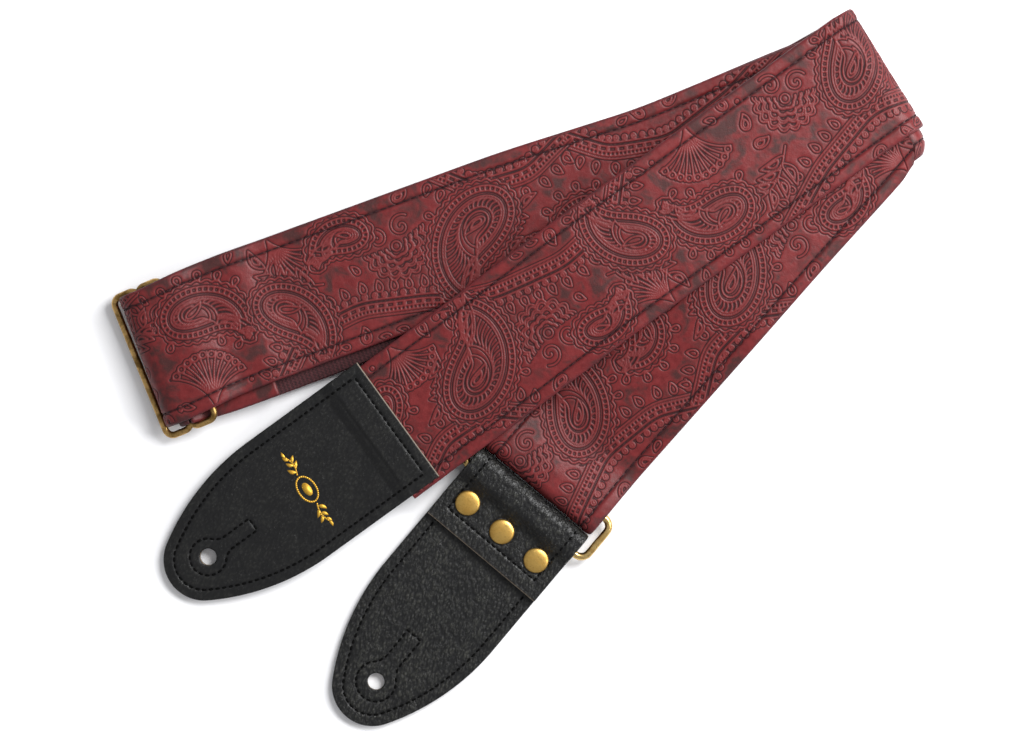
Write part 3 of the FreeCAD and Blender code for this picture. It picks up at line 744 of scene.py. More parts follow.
class Finish:
    """A material's node tree, built with short calls."""

    def __init__(self, name, roughness=0.5, metallic=0.0, specular=0.5, sheen=0.0):
        self.material = bpy.data.materials.new(name)
        self.material.use_nodes = True
        self.tree = self.material.node_tree
        self.shader = self.tree.nodes["Principled BSDF"]
        self.shader.inputs["Roughness"].default_value = roughness
        self.shader.inputs["Metallic"].default_value = metallic
        self.shader.inputs["Specular IOR Level"].default_value = specular
        self.shader.inputs["Sheen Weight"].default_value = sheen

    def link(self, value, socket):
        if isinstance(value, bpy.types.NodeSocket):
            self.tree.links.new(value, socket)
        else:
            socket.default_value = value

    def add(self, kind, **settings):
        node = self.tree.nodes.new("ShaderNode" + kind)
        for key, value in settings.items():
            setattr(node, key, value)
        return node

    def read(self, name):
        """A number stored at the mesh's points."""
        return self.add("Attribute", attribute_name=name).outputs["Fac"]

    def place(self, scale=(1, 1, 1), turn=0.0):
        """The object's own coordinates in millimetres, turned back by an angle, then scaled."""
        where = self.add("TexCoord").outputs["Object"]
        mapping = self.add("Mapping", vector_type="TEXTURE")
        mapping.inputs["Scale"].default_value = [MM / k for k in scale]
        mapping.inputs["Rotation"].default_value = (0, 0, turn)
        self.tree.links.new(where, mapping.inputs["Vector"])
        return mapping.outputs["Vector"]

    def noise(self, where, scale, detail=3.0, rough=0.55, twist=0.0):
        node = self.add("TexNoise")
        self.link(where, node.inputs["Vector"])
        node.inputs["Scale"].default_value = scale
        node.inputs["Detail"].default_value = detail
        node.inputs["Roughness"].default_value = rough
        node.inputs["Distortion"].default_value = twist
        return node.outputs["Fac"]

    def cells(self, where, scale, feature="F1"):
        node = self.add("TexVoronoi", feature=feature)
        self.link(where, node.inputs["Vector"])
        node.inputs["Scale"].default_value = scale
        return node.outputs["Distance"]

    def wave(self, where, scale, twist=0.0):
        node = self.add("TexWave", wave_type="BANDS", bands_direction="X", wave_profile="SIN")
        self.link(where, node.inputs["Vector"])
        node.inputs["Scale"].default_value = scale
        node.inputs["Distortion"].default_value = twist
        return node.outputs["Fac"]

    def ramp(self, value, low, high, start=0.0, end=1.0):
        """A value taken from low..high to start..end, held at both ends."""
        node = self.add("MapRange", clamp=True)
        self.link(value, node.inputs["Value"])
        for key, number in (("From Min", low), ("From Max", high), ("To Min", start), ("To Max", end)):
            node.inputs[key].default_value = number
        return node.outputs["Result"]

    def maths(self, operation, a, b=0.0):
        node = self.add("Math", operation=operation)
        self.link(a, node.inputs[0])
        self.link(b, node.inputs[1])
        return node.outputs[0]

    def mix(self, share, a, b):
        node = self.add("Mix", data_type="RGBA", blend_type="MIX")
        self.link(share, node.inputs["Factor"])
        self.link(a, node.inputs[6])
        self.link(b, node.inputs[7])
        return node.outputs[2]

    def colour(self, value):
        self.link(value, self.shader.inputs["Base Color"])

    def rough(self, value):
        self.link(value, self.shader.inputs["Roughness"])

    def bump(self, height, distance, strength=1.0, over=None):
        node = self.add("Bump")
        node.inputs["Strength"].default_value = strength
        node.inputs["Distance"].default_value = distance * MM
        self.link(height, node.inputs["Height"])
        if over is not None:
            self.link(over, node.inputs["Normal"])
        self.link(node.outputs["Normal"], self.shader.inputs["Normal"])
        return node.outputs["Normal"]


def strap_leather():
    f = Finish("burgundy_tooled_leather", roughness=0.5, specular=0.27)
    near, deep = f.read("near"), f.read("deep")
    channel, rim = f.read("channel"), f.read("rim")
    ridge = f.ramp(near, 0.08, 0.34, 1.0, 0.0)
    groove = f.ramp(f.maths("ABSOLUTE", f.maths("SUBTRACT", near, 0.56)), 0.04, 0.28, 1.0, 0.0)
    plain = f.ramp(near, 0.9, 2.2)
    place = f.place()
    cloud = f.noise(place, 0.11, 3.0, 0.6, 0.5)
    small = f.noise(place, 0.42, 4.0, 0.6)
    fibre = f.noise(place, 2.6, 3.0, 0.6)
    base = f.mix(f.ramp(small, 0.3, 0.7), tone(88, 22, 24), tone(107, 33, 34))
    wash = f.maths("MULTIPLY", f.ramp(cloud, 0.46, 0.6), f.ramp(plain, 0.15, 1.0, 0.2, 0.85))
    base = f.mix(wash, base, tone(48, 27, 26))
    base = f.mix(f.maths("MULTIPLY", deep, f.ramp(small, 0.4, 0.6, 0.2, 0.75)), base, tone(62, 20, 23))
    base = f.mix(f.maths("MULTIPLY", f.ramp(fibre, 0.5, 0.75), 0.2), base, tone(126, 56, 54))
    base = f.mix(f.maths("MULTIPLY", groove, 0.92), base, tone(22, 5, 8))
    # painted highlight: the raised ridges of the tooling are mixed towards a lighter red
    base = f.mix(f.maths("MULTIPLY", ridge, 0.24), base, tone(138, 60, 59))
    base = f.mix(f.maths("MULTIPLY", channel, 0.8), base, tone(34, 10, 14))
    worn = f.maths("MULTIPLY", rim, f.ramp(f.noise(place, 0.9, 3.0), 0.35, 0.7, 0.2, 0.85))
    base = f.mix(worn, base, tone(70, 30, 36))
    f.colour(base)
    shine = f.maths("ADD", f.ramp(cloud, 0.35, 0.65, 0.38, 0.5), f.maths("MULTIPLY", groove, 0.25))
    f.rough(f.maths("ADD", shine, f.ramp(fibre, 0.3, 0.7, -0.05, 0.07)))
    grain = f.cells(place, 1.9, "F1")
    first = f.bump(f.maths("ADD", grain, f.maths("MULTIPLY", fibre, 1.2)), 0.05, 0.5)
    tooled = f.bump(f.maths("SUBTRACT", ridge, groove), 0.12, 0.6, first)
    f.bump(f.noise(place, 0.2, 2.0), 0.6, 0.4, tooled)
    return f.material


def strap_webbing():
    f = Finish("dark_woven_webbing", roughness=0.85, specular=0.3, sheen=0.15)
    ahead, aside = f.read("along"), f.read("across")
    warp = f.maths("SINE", f.maths("MULTIPLY", aside, 5.2))
    weft = f.maths("SINE", f.maths("ADD", f.maths("MULTIPLY", ahead, 4.2), f.maths("MULTIPLY", warp, 1.2)))
    weave = f.maths("MULTIPLY", warp, weft)
    dust = f.noise(f.place(), 0.8, 4.0)
    base = f.mix(f.ramp(weave, -1, 1), tone(30, 12, 15), tone(70, 30, 34))
    f.colour(f.mix(f.ramp(dust, 0.4, 0.75, 0.0, 0.45), base, tone(88, 44, 46)))
    f.bump(weave, 0.12, 0.7)
    return f.material


def thread(name, dark, light, specular=0.25):
    f = Finish(name, roughness=0.7, specular=specular)
    where = f.place()
    twist = f.wave(f.place((1, 1, 1), 0.7), 2.4, 1.0)
    f.colour(f.mix(f.ramp(f.noise(where, 1.5), 0.35, 0.7), dark, light))
    f.bump(twist, 0.08, 0.6)
    return f.material


def tab_leather(name, degrees, wrinkle, lift):
    """Black leather of a tab that points to an angle; wrinkle sets how deep its creases are, and lift how
    bright the painted highlight on them is.
    """
    f = Finish(name, roughness=0.42, specular=0.35)
    place = f.place()
    turn = math.radians(degrees)
    crease = f.noise(f.place((0.5, 1.0, 1.0), turn), 0.6, 3.0, 0.62, 0.9)
    crease = f.ramp(f.maths("ABSOLUTE", f.maths("SUBTRACT", crease, 0.5)), 0.0, 0.05)
    pebble = f.ramp(f.cells(f.place((0.6, 1.0, 1.0), turn + 0.3), 1.2, "SMOOTH_F1"), 0.1, 0.75, 1.0, 0.0)
    pores = f.noise(place, 3.4, 3.0)
    cloud = f.noise(place, 0.14, 2.0)
    lines = f.maths("MULTIPLY", f.ramp(crease, 0.0, 1.0, 0.35, 1.0), pebble)
    base = f.mix(f.ramp(cloud, 0.35, 0.65), tone(8, 8, 9), tone(14, 14, 14))
    # painted highlight: grey glints along the creases and pebbles, with lift setting how strong they are
    painted_glint = f.maths("MULTIPLY", f.ramp(lines, 0.35, 0.9), f.ramp(cloud, 0.4, 0.6, lift * 0.4, lift))
    base = f.mix(painted_glint, base, tone(54, 54, 49))
    # darkens the stitched channels; on the flap the same value also carries a painted shade ring round each
    # rivet
    base = f.mix(f.maths("MULTIPLY", f.read("channel"), 0.9), base, tone(5, 5, 6))
    base = f.mix(f.maths("MULTIPLY", f.read("cut"), 0.75), base, tone(134, 120, 104))
    f.colour(base)
    f.rough(f.ramp(pores, 0.3, 0.7, 0.34, 0.48))
    first = f.bump(lines, 0.24, wrinkle)
    f.bump(pores, 0.05, 0.4, first)
    return f.material


def tab_core():
    f = Finish("tan_board_edge", roughness=0.8, specular=0.3)
    place = f.place((1, 1, 3))
    fibre = f.noise(place, 1.4, 4.0, 0.65)
    f.colour(f.mix(f.ramp(fibre, 0.35, 0.65), tone(128, 106, 84), tone(168, 146, 118)))
    f.rough(f.ramp(fibre, 0.3, 0.7, 0.7, 0.9))
    f.bump(fibre, 0.12, 0.6)
    return f.material


def brass(name, bright, dull, spots, roughness, wear):
    """Brass wire or sheet with an uneven patina and fine scratches."""
    f = Finish(name, roughness=roughness, metallic=1.0, specular=0.5)
    place = f.place()
    patina = f.noise(place, 0.22, 4.0, 0.62, 0.6)
    speck = f.noise(place, 1.6, 3.0, 0.6)
    scratch = f.noise(f.place((6.0, 0.5, 0.5), 0.5), 1.1, 3.0, 0.7)
    base = f.mix(f.ramp(patina, 0.42, 0.62), bright, dull)
    base = f.mix(f.maths("MULTIPLY", f.ramp(speck, 0.56, 0.7), wear), base, spots)
    f.colour(base)
    dulled = f.ramp(patina, 0.35, 0.65, roughness - 0.06, roughness + 0.12)
    f.rough(f.maths("ADD", dulled, f.ramp(scratch, 0.4, 0.7, 0, 0.08)))
    f.bump(f.maths("ADD", speck, scratch), 0.03, 0.5)
    return f.material


def pale_floor():
    f = Finish("pale_paper", roughness=0.75, specular=0.25)
    place = f.place()
    f.colour(f.mix(f.ramp(f.noise(place, 0.02, 3.0), 0.3, 0.7), tone(243, 243, 245), tone(249, 249, 250)))
    f.bump(f.noise(place, 2.0, 3.0), 0.02, 0.3)
    return f.material


def gold_foil():
    f = Finish("gold_foil", roughness=0.45, metallic=0.6, specular=0.5)
    place = f.place()
    rubbed = f.noise(place, 2.2, 4.0, 0.6)
    f.colour(f.mix(f.ramp(rubbed, 0.5, 0.75), tone(222, 172, 58), tone(158, 112, 34)))
    f.rough(f.ramp(rubbed, 0.3, 0.7, 0.38, 0.55))
    f.bump(f.noise(place, 3.0, 2.0), 0.02, 0.5)
    return f.material


FOIL = gold_foil()
LEATHER = strap_leather()
WEBBING = strap_webbing()
THREAD = thread("dark_red_thread", tone(26, 8, 12), tone(58, 22, 28))
BLACK_THREAD = thread("black_thread", tone(1, 1, 1), tone(5, 5, 5), 0.08)
# the last number of each tab sets how bright the painted highlight on its creases is
TAB_A_LEATHER = tab_leather("black_leather_smooth", TOP_TURN - 180, 0.45, 0.25)
TAB_B_LEATHER = tab_leather("black_leather_grained", 50.0, 1.0, 0.75)
TAB_CORE = tab_core()
RING_BRASS = brass("bright_brass_wire", tone(222, 190, 126), tone(176, 142, 84), tone(92, 68, 36), 0.24, 0.5)
SLIDER_BRASS = brass("antique_brass", tone(190, 154, 96), tone(118, 90, 48), tone(58, 42, 24), 0.34, 0.8)
RIVET_BRASS = brass("rivet_brass", tone(204, 166, 92), tone(178, 140, 72), tone(110, 80, 38), 0.34, 0.4)


# ---- the strap ----
def plan(vector):
    """Direction in the plane of the floor, in degrees."""
    return math.degrees(math.atan2(vector[1], vector[0]))


MIDDLE_RUN = plan(SIDE_FOLD - SLIDER)
MIDDLE_LONG = np.linalg.norm(SIDE_FOLD - SLIDER)
LOWER_RUN = plan(RING_BAR - SIDE_FOLD)
LOOP_END = np.linalg.norm(RING_BAR - SIDE_FOLD) + 4.0
BOTTOM_RUN = plan(SLIDER - TOP_FOLD)
BOTTOM_LONG = np.linalg.norm(SLIDER - TOP_FOLD)
TOP_END = 224.8
SEAM_A = 212.3
TOP_LEVEL = 125.0
TOP_SLOPE = 0.06926
FINE = 0.38
COARSE = 1.6

top_drop = TOP_SLOPE * (TOP_END - TOP_LEVEL)
top_knots = [(0, TOP_Z + PLY), (TOP_LEVEL, TOP_Z + PLY), (TOP_END, TOP_Z + PLY - top_drop)]
top_sway = [(0, 0), (125, 0.0), (180, 1.3), (205, 1.4), (225, 1.9)]
top_turns = [(0, FOLD_REACH, TOP_AXIS)]
top_run = run(TOP_FOLD, TOP_TURN, (0, TOP_END), 0.35, top_knots, True, top_sway, top_turns)
top_lay = bend(TOP_FOLD, TOP_BULGE, FOLD_Z, 8.3, 0.4, axis=heading(TOP_AXIS)).then(top_run)

middle_knots = [(0, 13.3), (8, 13.8), (13, 13.8), (24, 10.5), (36, 10.5), (48, 7.8), (300, 7.8)]
middle_sway = [(0, 0.8), (8, 1.9), (24, 3.3), (63, 3.0), (141, 2.4)]
middle_sway += [(195, -0.4), (219, 0.5), (252, 1.4), (277, 1.8)]
middle_turns = [(MIDDLE_LONG, FOLD_REACH, SIDE_AXIS - 180)]
middle_run = run(SLIDER, MIDDLE_RUN, (0, MIDDLE_LONG), 0.42, middle_knots, True, middle_sway, middle_turns)
slider_side = heading(MIDDLE_RUN + 90)
slider_turn = bend(SLIDER, MIDDLE_RUN + 180, SLIDER_Z, 6.65, 0.42, axis=slider_side, bulging=1.2)
middle_lay = slider_turn.then(middle_run)

lower_knots = [(0, 13.9), (95, 13.9), (165, 5.1), (LOOP_END - 23, 5.1), (LOOP_END - 5, 9.0), (LOOP_END, 9.0)]
lower_sway = [(0, 4.0), (20, 3.6), (60, 2.0), (165, -0.3), (186, -0.4)]
lower_turns = [(0, FOLD_REACH, SIDE_AXIS)]
lower_run = run(SIDE_FOLD, LOWER_RUN, (0, LOOP_END), 0.37, lower_knots, True, lower_sway, lower_turns)
lower_side = heading(LOWER_RUN + 90)
loop_at = SIDE_FOLD + heading(LOWER_RUN) * LOOP_END
fold_at = SIDE_FOLD + lower_side * 4.0
outer_fold = bend(fold_at, SIDE_BULGE, FOLD_Z, 5.6, 0.5, axis=heading(SIDE_AXIS))
ring_turn = bend(loop_at, LOWER_RUN, RING_Z, 4.5, 0.4, rising=False, axis=lower_side)
lower_lay = outer_fold.then(lower_run).then(ring_turn, "next")

under_knots = [(0, 8.8), (95, 8.8), (165, 0.0), (LOOP_END, 0.0)]
inner_fold = bend(fold_at, SIDE_BULGE, FOLD_Z, 0.5, 0.12, inside=True, axis=heading(SIDE_AXIS))
under_run = run(SIDE_FOLD, LOWER_RUN, (0, LOOP_END), 1.5, under_knots, False, lower_sway, lower_turns)
lower_under_lay = inner_fold.then(under_run)

back_knots = [(0, UNDER_Z), (300, UNDER_Z)]
back_sway = [(0, 0), (14, -2.0), (60, -2.0), (150, 0.6), (191, -0.6), (251, 2.0), (273, 2.0)]
loop_turns = [(0, LOOP_REACH, SLIDER_TURN - 90)]
back_turns = middle_turns + loop_turns
back_run = run(SLIDER, MIDDLE_RUN, (0, MIDDLE_LONG), 1.5, back_knots, False, back_sway, back_turns)
tail_knots = [(0, 10.6), (1, 10.3), (6, 7.7), (35, 7.7)]
tail_run = run(SLIDER, MIDDLE_RUN, (0, 35), 1.0, tail_knots, True, [(0, 0), (14, -2.0)], loop_turns, 1.5)
sewn_loop = bend(SLIDER, SLIDER_TURN, SLIDER_Z, 3.95, 0.5)
back_lay = back_run.reversed().then(sewn_loop, "next").then(tail_run, "next")

bottom_sway = [(0, 0), (20, 3), (45, 5.5), (120, 5), (200, 3), (270, 1.5)]
bottom_run = run(TOP_FOLD, BOTTOM_RUN, (0, BOTTOM_LONG), 1.5, [(0, 0.0)], False, bottom_sway, top_turns)

strap_rows = [
    ("strap_top", top_lay, FINE, 0.0, True, ("top_run", "top_fold")),
    ("strap_middle_upper", middle_lay, FINE, 61.0, True, ("middle_run_upper", "slider_turn")),
    ("strap_lower_upper", lower_lay, FINE, 102.0, True, ("lower_run_upper", "ring_turn", "side_fold_outer")),
    ("strap_lower_under", lower_under_lay, COARSE, 0.0, False, ("lower_run_under", "side_fold_inner")),
    ("strap_middle_under", back_lay, COARSE, 0.0, False, ("middle_run_under", "sewn_loop", "sewn_tail")),
    ("strap_bottom", bottom_run, COARSE, 0.0, False, ("bottom_run",)),
]
for name, lay, step, shift, embossed, nodes in strap_rows:
    face = strap_face(name + "_face", lay, step, shift, embossed)
    back = strap_backing(name + "_backing", lay, 4 if embossed else 1)
    pieces = [(face, "face_", "strap_leather"), (back, "backing_", "strap_webbing")]
    if embossed:
        seam = strap_stitches(name + "_stitches", lay)
        pieces.append((seam, "", "strap_leather"))
    for piece, layer, slot in pieces:
        if layer:
            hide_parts(*[layer + node for node in nodes])
        if name == "strap_top":
            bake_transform(piece)
        else:
            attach(piece, "bundle")


# ---- the leather tabs ----
class Plate:
    """A tab's own frame: x from its strap end to its tip, y across, z up out of the leather."""

    def __init__(self, origin, degrees, tilt=0.0):
        t = math.radians(tilt)
        ahead = heading(degrees)
        self.origin = np.asarray(origin, float)
        self.x = ahead * math.cos(t) - UP * math.sin(t)
        self.y = heading(degrees + 90)
        self.z = ahead * math.sin(t) + UP * math.cos(t)

    def world(self, points):
        points = np.asarray(points, float)
        return self.origin + points[..., :1] * self.x + points[..., 1:2] * self.y + points[..., 2:3] * self.z


def tab_shape(tip):
    """Where a tab's long arcs begin, and the angle at which they meet its round tip."""
    rise = TAB_SIDE_ARC - TAB_WIDTH / 2
    along = math.sqrt((TAB_SIDE_ARC - TAB_TIP_ARC) ** 2 - rise**2)
    return tip - TAB_TIP_ARC - along, math.atan2(rise, along), rise


def tab_half(x, tip):
    """Half the width of a tab at a place along it."""
    shoulder, phi, rise = tab_shape(tip)
    nose = tip - TAB_TIP_ARC
    meet = nose + TAB_TIP_ARC * math.cos(phi)
    long = np.sqrt(np.maximum(TAB_SIDE_ARC**2 - np.maximum(x - shoulder, 0) ** 2, 0)) - rise
    round_tip = np.sqrt(np.maximum(TAB_TIP_ARC**2 - (x - nose) ** 2, 0))
    return np.where(x < meet, long, round_tip)


def tab_border(begin, tip, inset):
    """An open line round a tab at an even distance from its edge, from one corner to the other."""
    shoulder, phi, rise = tab_shape(tip)
    long = np.linspace(math.pi / 2, phi, 60)
    nose = np.linspace(phi, -phi, 50)
    upper = np.column_stack([np.cos(long), np.sin(long)]) * (TAB_SIDE_ARC - inset) + [shoulder, -rise]
    front = np.column_stack([np.cos(nose), np.sin(nose)]) * (TAB_TIP_ARC - inset) + [tip - TAB_TIP_ARC, 0]
    first = [[begin, TAB_WIDTH / 2 - inset]]
    whole = np.vstack([first, upper, front[1:]])
    mirrored = (whole[:61] * [1, -1])[::-1]
    return np.vstack([whole, mirrored])


def tab_edge_distance(x, y, tip):
    """How far places of a tab lie inside its outline."""
    shoulder, phi, rise = tab_shape(tip)
    nose = tip - TAB_TIP_ARC
    y = np.abs(y)
    in_tip = np.arctan2(y, x - nose) < phi
    tip_way = TAB_TIP_ARC - np.hypot(x - nose, y)
    arc_way = TAB_SIDE_ARC - np.hypot(x - shoulder, y + rise)
    side = np.where(x < shoulder, TAB_WIDTH / 2 - y, arc_way)
    distance = np.where(in_tip & (x > nose), tip_way, side)
    return np.minimum(distance, np.maximum(x, 0))


def distance_to(lines, x, y):
    """How far places lie from the nearest of some lines."""
    flat = np.column_stack([x.ravel(), y.ravel()])
    nearest = np.full(len(flat), 50.0)
    for points, closed in lines:
        samples = resample(points, 0.4, closed)
        for i in range(0, len(samples), 24):
            part = samples[i : i + 24]
            low, high = part.min(0) - 2.5, part.max(0) + 2.5
            near = np.all((flat > low) & (flat < high), axis=1)
            if not near.any():
                continue
            gap = np.sqrt(((flat[near][:, None, :] - part[None]) ** 2).sum(2)).min(1)
            nearest[near] = np.minimum(nearest[near], gap)
    return nearest.reshape(x.shape)


def keyhole(x, radius, half, reach):
    """The stitched line round a button hole and its slot."""
    open_angle = math.asin(half / radius) + 0.2
    a = np.linspace(math.pi - open_angle, -(math.pi - open_angle), 60)
    around = np.column_stack([x + radius * np.cos(a), radius * np.sin(a)])
    slot_line = [[x - radius - 1.4, -half], [x - reach, -half], [x - reach, half], [x - radius - 1.4, half]]
    return np.vstack([around, slot_line])


def across_places(half, inner):
    rim = np.array([0.0, 0.06, 0.18, 0.4, 0.75])
    shrink = np.minimum(1.0, half[:, None] / 2.2)
    low = -half[:, None] + rim[None] * shrink
    high = half[:, None] - rim[None, ::-1] * shrink
    share = np.linspace(0, 1, inner)[1:-1]
    middle_part = low[:, -1:] + (high[:, :1] - low[:, -1:]) * share[None]
    return np.hstack([low, middle_part, high])


def rounded_over(distance, radius=0.45):
    short = np.clip(radius - distance, 0, radius)
    return radius - np.sqrt(radius**2 - short**2)


def leather_waves(x, y, seed):
    """Slow unevenness of a leather surface, from -1 to 1."""
    pick = random.Random(seed)
    total = np.zeros(np.broadcast(x, y).shape)
    for _ in range(7):
        angle, long, phase = pick.uniform(0, math.pi), pick.uniform(7, 26), pick.uniform(0, 6.3)
        total += np.sin((x * math.cos(angle) + y * math.sin(angle)) * 2 * math.pi / long + phase)
    return total / 7


def tab_plate(name, plate, tip, top, foot, lines, materials, layers, hole, seed, pale_start=False):
    """A tab's leather from a height at each place along it, with stitched channels and a pierced hole."""
    nose = tip - TAB_TIP_ARC
    lead = np.array([0.0, 0.06, 0.18, 0.4, 0.75])
    body = np.arange(1.2, nose, 0.45)
    turn = np.sin(np.linspace(0, math.radians(87.5), 46))
    x = np.concatenate([lead, body, nose + TAB_TIP_ARC * turn])
    half = tab_half(x, tip)
    y = across_places(half, 104)
    xs = np.broadcast_to(x[:, None], y.shape)
    edge = tab_edge_distance(xs, y, tip)
    edge = np.minimum(edge, half[:, None] - np.abs(y))
    gap = distance_to(lines, xs, y)
    channel = np.exp(-((gap / 0.55) ** 2))
    height = top(x)[:, None] - rounded_over(np.maximum(edge, 0)) - 0.34 * channel
    height += 0.1 * leather_waves(xs, y, seed) * smooth(0.5, 3.0, edge)
    away = np.hypot(xs - hole, y) - HOLE_RADIUS
    height -= np.where(away < 0.5, rounded_over(np.maximum(away, 0), 0.4), 0)
    low = foot(x)
    surface = np.stack([xs, y, height], -1)
    left = [np.column_stack([x, -half, low + share]) for share in layers]
    right = [np.column_stack([x, half, low + share]) for share in layers[::-1]]
    ring = np.concatenate([np.stack(left, 1), surface, np.stack(right, 1)], axis=1)
    columns = ring.shape[1]
    faces = tube_faces(len(x), columns, False)
    sides = len(layers)
    kind = np.zeros(columns, int)
    if len(materials) > 1:
        kind[1] = 1
        kind[columns - sides] = 1
    indices = list(np.tile(kind, len(x) - 1)) + [0, 0]
    piece = new_piece(name, plate.world(ring.reshape(-1, 3)), faces, materials, True, indices)
    marks = np.zeros((len(x), columns))
    marks[:, sides:-sides] = 0.45 * channel
    keep_value(piece, "channel", marks)
    pale = np.zeros((len(x), columns))
    pale[:, sides:-sides] = 1 - smooth(0.1, 0.45, xs) if pale_start else 0
    keep_value(piece, "cut", pale)
    pierce(piece, plate, hole, materials)
    return piece


def pierce(piece, plate, x, materials):
    """Cuts a round hole, whose wall shows the tab's layers."""
    rows = [-3.0, SKIN, SKIN + 0.8, 9.0] if len(materials) > 1 else [-3.0, 9.0]
    count = 64
    a = np.arange(count) * 2 * math.pi / count
    points = [(x + HOLE_RADIUS * math.cos(k), HOLE_RADIUS * math.sin(k), z) for z in rows for k in a]
    faces, indices = [], []
    for row in range(len(rows) - 1):
        for k in range(count):
            i, j = row * count + k, row * count + (k + 1) % count
            faces.append([i, j, j + count, i + count])
            indices.append(1 if len(rows) == 4 and row == 1 else 0)
    faces.append(list(range(count))[::-1])
    faces.append([(len(rows) - 1) * count + k for k in range(count)])
    cutter = new_piece("cutter", plate.world(points), faces, materials, False, indices + [0, 0])
    cut = piece.modifiers.new("hole", "BOOLEAN")
    cut.operation = "DIFFERENCE"
    cut.solver = "EXACT"
    cut.object = cutter
    graph = bpy.context.evaluated_depsgraph_get()
    cut_mesh = bpy.data.meshes.new_from_object(piece.evaluated_get(graph))
    piece.modifiers.clear()
    piece.data = cut_mesh
    bpy.data.objects.remove(cutter)


def line_stitches(name, plate, lines, top, pitch=2.5, long=1.75, wide=0.8, sink=0.22):
    """Black machine stitches along lines on a tab."""
    places, ways, outs = [], [], []
    for points, closed in lines:
        samples = resample(points, 0.25, closed)
        every = max(1, int(round(pitch / 0.25)))
        for k in range(every // 2, len(samples) - 1, every):
            a, b = samples[k - 1], samples[(k + 1) % len(samples)]
            high = top(np.array([samples[k][0]]))[0] - sink
            places.append(plate.world(np.array([samples[k][0], samples[k][1], high])))
            ways.append((b[0] - a[0]) * plate.x + (b[1] - a[1]) * plate.y)
            outs.append(plate.z)
    points, faces = stitch_row(places, ways, outs, long, wide, 0.4)
    return new_piece(name, points, faces, [BLACK_THREAD])


# tab A: one skin over the strap's end, a board core and a skin under it
seam_drop = TOP_SLOPE * (SEAM_A - TOP_LEVEL)
seam_at = TOP_FOLD + TOP_RUN * SEAM_A + UP * (TOP_Z - seam_drop - SKIN - 0.05)
plate_a = Plate(seam_at, TOP_TURN, math.degrees(math.atan(TOP_SLOPE)))


def top_a(x):
    return profile([(0, 4.3), (12.8, 4.3), (17.3, 2.6), (110, 2.6)], x)


def foot_a(x):
    return top_a(x) - SKIN + 0.02


hole_a = TAB_A - HOLE_FROM_TIP
border_a = tab_border(4.0, TAB_A, 4.0)
cross_a = np.array([[3.9, -(TAB_WIDTH / 2 - 4.0)], [3.9, TAB_WIDTH / 2 - 4.0]])
key_a = keyhole(hole_a, 6.8, 2.6, 20.6)
crease_a = np.array([[13.6, -18.5], [13.6, 18.5]])
stitched_a = [(border_a, False), (cross_a, False), (key_a, True)]
skin_a = tab_plate(
    "tab_a_top_leather",
    plate_a,
    TAB_A,
    top_a,
    foot_a,
    stitched_a + [(crease_a, False)],
    [TAB_A_LEATHER],
    (0.0, 0.3),
    hole_a,
    3,
    True,
)
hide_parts("tab_a_upper_ply")
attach(skin_a, "top_run")
seam_a = line_stitches("tab_a_stitches", plate_a, stitched_a, top_a)
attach(seam_a, "top_run")

# a small foil ornament: a long oval with a sprig of leaves to either side
def foil(name, plate, outlines, top, seed, thick=0.05):
    """Thin closed shapes that lie on a tab's leather."""
    points, faces = [], []
    for outline in outlines:
        x, y = np.asarray(outline).T
        high = top(x) + 0.1 * leather_waves(x, y, seed) + 0.02
        base, count = len(points), len(x)
        points += [(a, b, z - thick) for a, b, z in zip(x, y, high)]
        points += [(a, b, z + thick) for a, b, z in zip(x, y, high)]
        faces.append([base + k for k in range(count)][::-1])
        faces.append([base + count + k for k in range(count)])
        for k in range(count):
            j = (k + 1) % count
            faces.append([base + k, base + j, base + count + j, base + count + k])
    return new_piece(name, plate.world(points), faces, [FOIL], False)


def stroke(points, wide):
    """A line as a row of short filled pieces."""
    line = resample(points, 0.8)
    aside = left_of(unit_rows(np.gradient(line, axis=0))) * wide / 2
    low, high = line - aside, line + aside
    return [np.array([low[k], low[k + 1], high[k + 1], high[k]]) for k in range(len(line) - 1)]


ORNAMENT_AT = (42.5, 1.2)
oval = ring_of(1.0, 40) * [3.3, 5.2]
shapes = stroke(np.vstack([oval, oval[:1]]), 0.6)
shapes.append(ring_of(1.0, 20) * [1.5, 2.7])
for side in (-1, 1):
    t = np.linspace(0, 1, 16)
    stem = np.column_stack([1.2 * np.sin(t * 3.0) * side, side * (6.2 + 7.8 * t)])
    shapes += stroke(stem, 0.5)
    for k, (place, angle) in enumerate([(2, 0.7), (4, -0.7), (7, 0.7), (9, -0.7), (12, 0.6), (15, 0.0)]):
        long = 3.6 - 0.2 * k
        shapes.append(turned(leaf(long, long * 0.4, 0.1, 16), side * (math.pi / 2) + angle, 1, stem[place]))
shapes = [np.asarray(shape) + ORNAMENT_AT for shape in shapes]
ornament = foil("tab_a_ornament", plate_a, shapes, top_a, 3)
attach(ornament, "top_run")

# tab B: a long blade that turns up round the ring and comes back over itself as a flap
plate_b = Plate(OUTER_BAR - heading(LOWER_RUN) * 3.8 + heading(LOWER_RUN - 90) * 0.7, LOWER_RUN)
hole_b = TAB_B - HOLE_FROM_TIP


def top_b(x):
    return np.full(np.shape(x), THICK_B)


def foot_b(x):
    return np.zeros(np.shape(x))


border_b = tab_border(25.2, TAB_B, 4.2)
key_b = keyhole(hole_b, 7.4, 3.1, 22.0)
stitched_b = [(border_b, False), (key_b, True)]
blade = tab_plate(
    "tab_b_blade",
    plate_b,
    TAB_B,
    top_b,
    foot_b,
    stitched_b,
    [TAB_B_LEATHER, TAB_CORE],
    (0.0, SKIN, SKIN + 0.8),
    hole_b,
    5,
)
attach(blade, "tab_b")
seam_b = line_stitches("tab_b_blade_stitches", plate_b, stitched_b, top_b)
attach(seam_b, "tab_b")

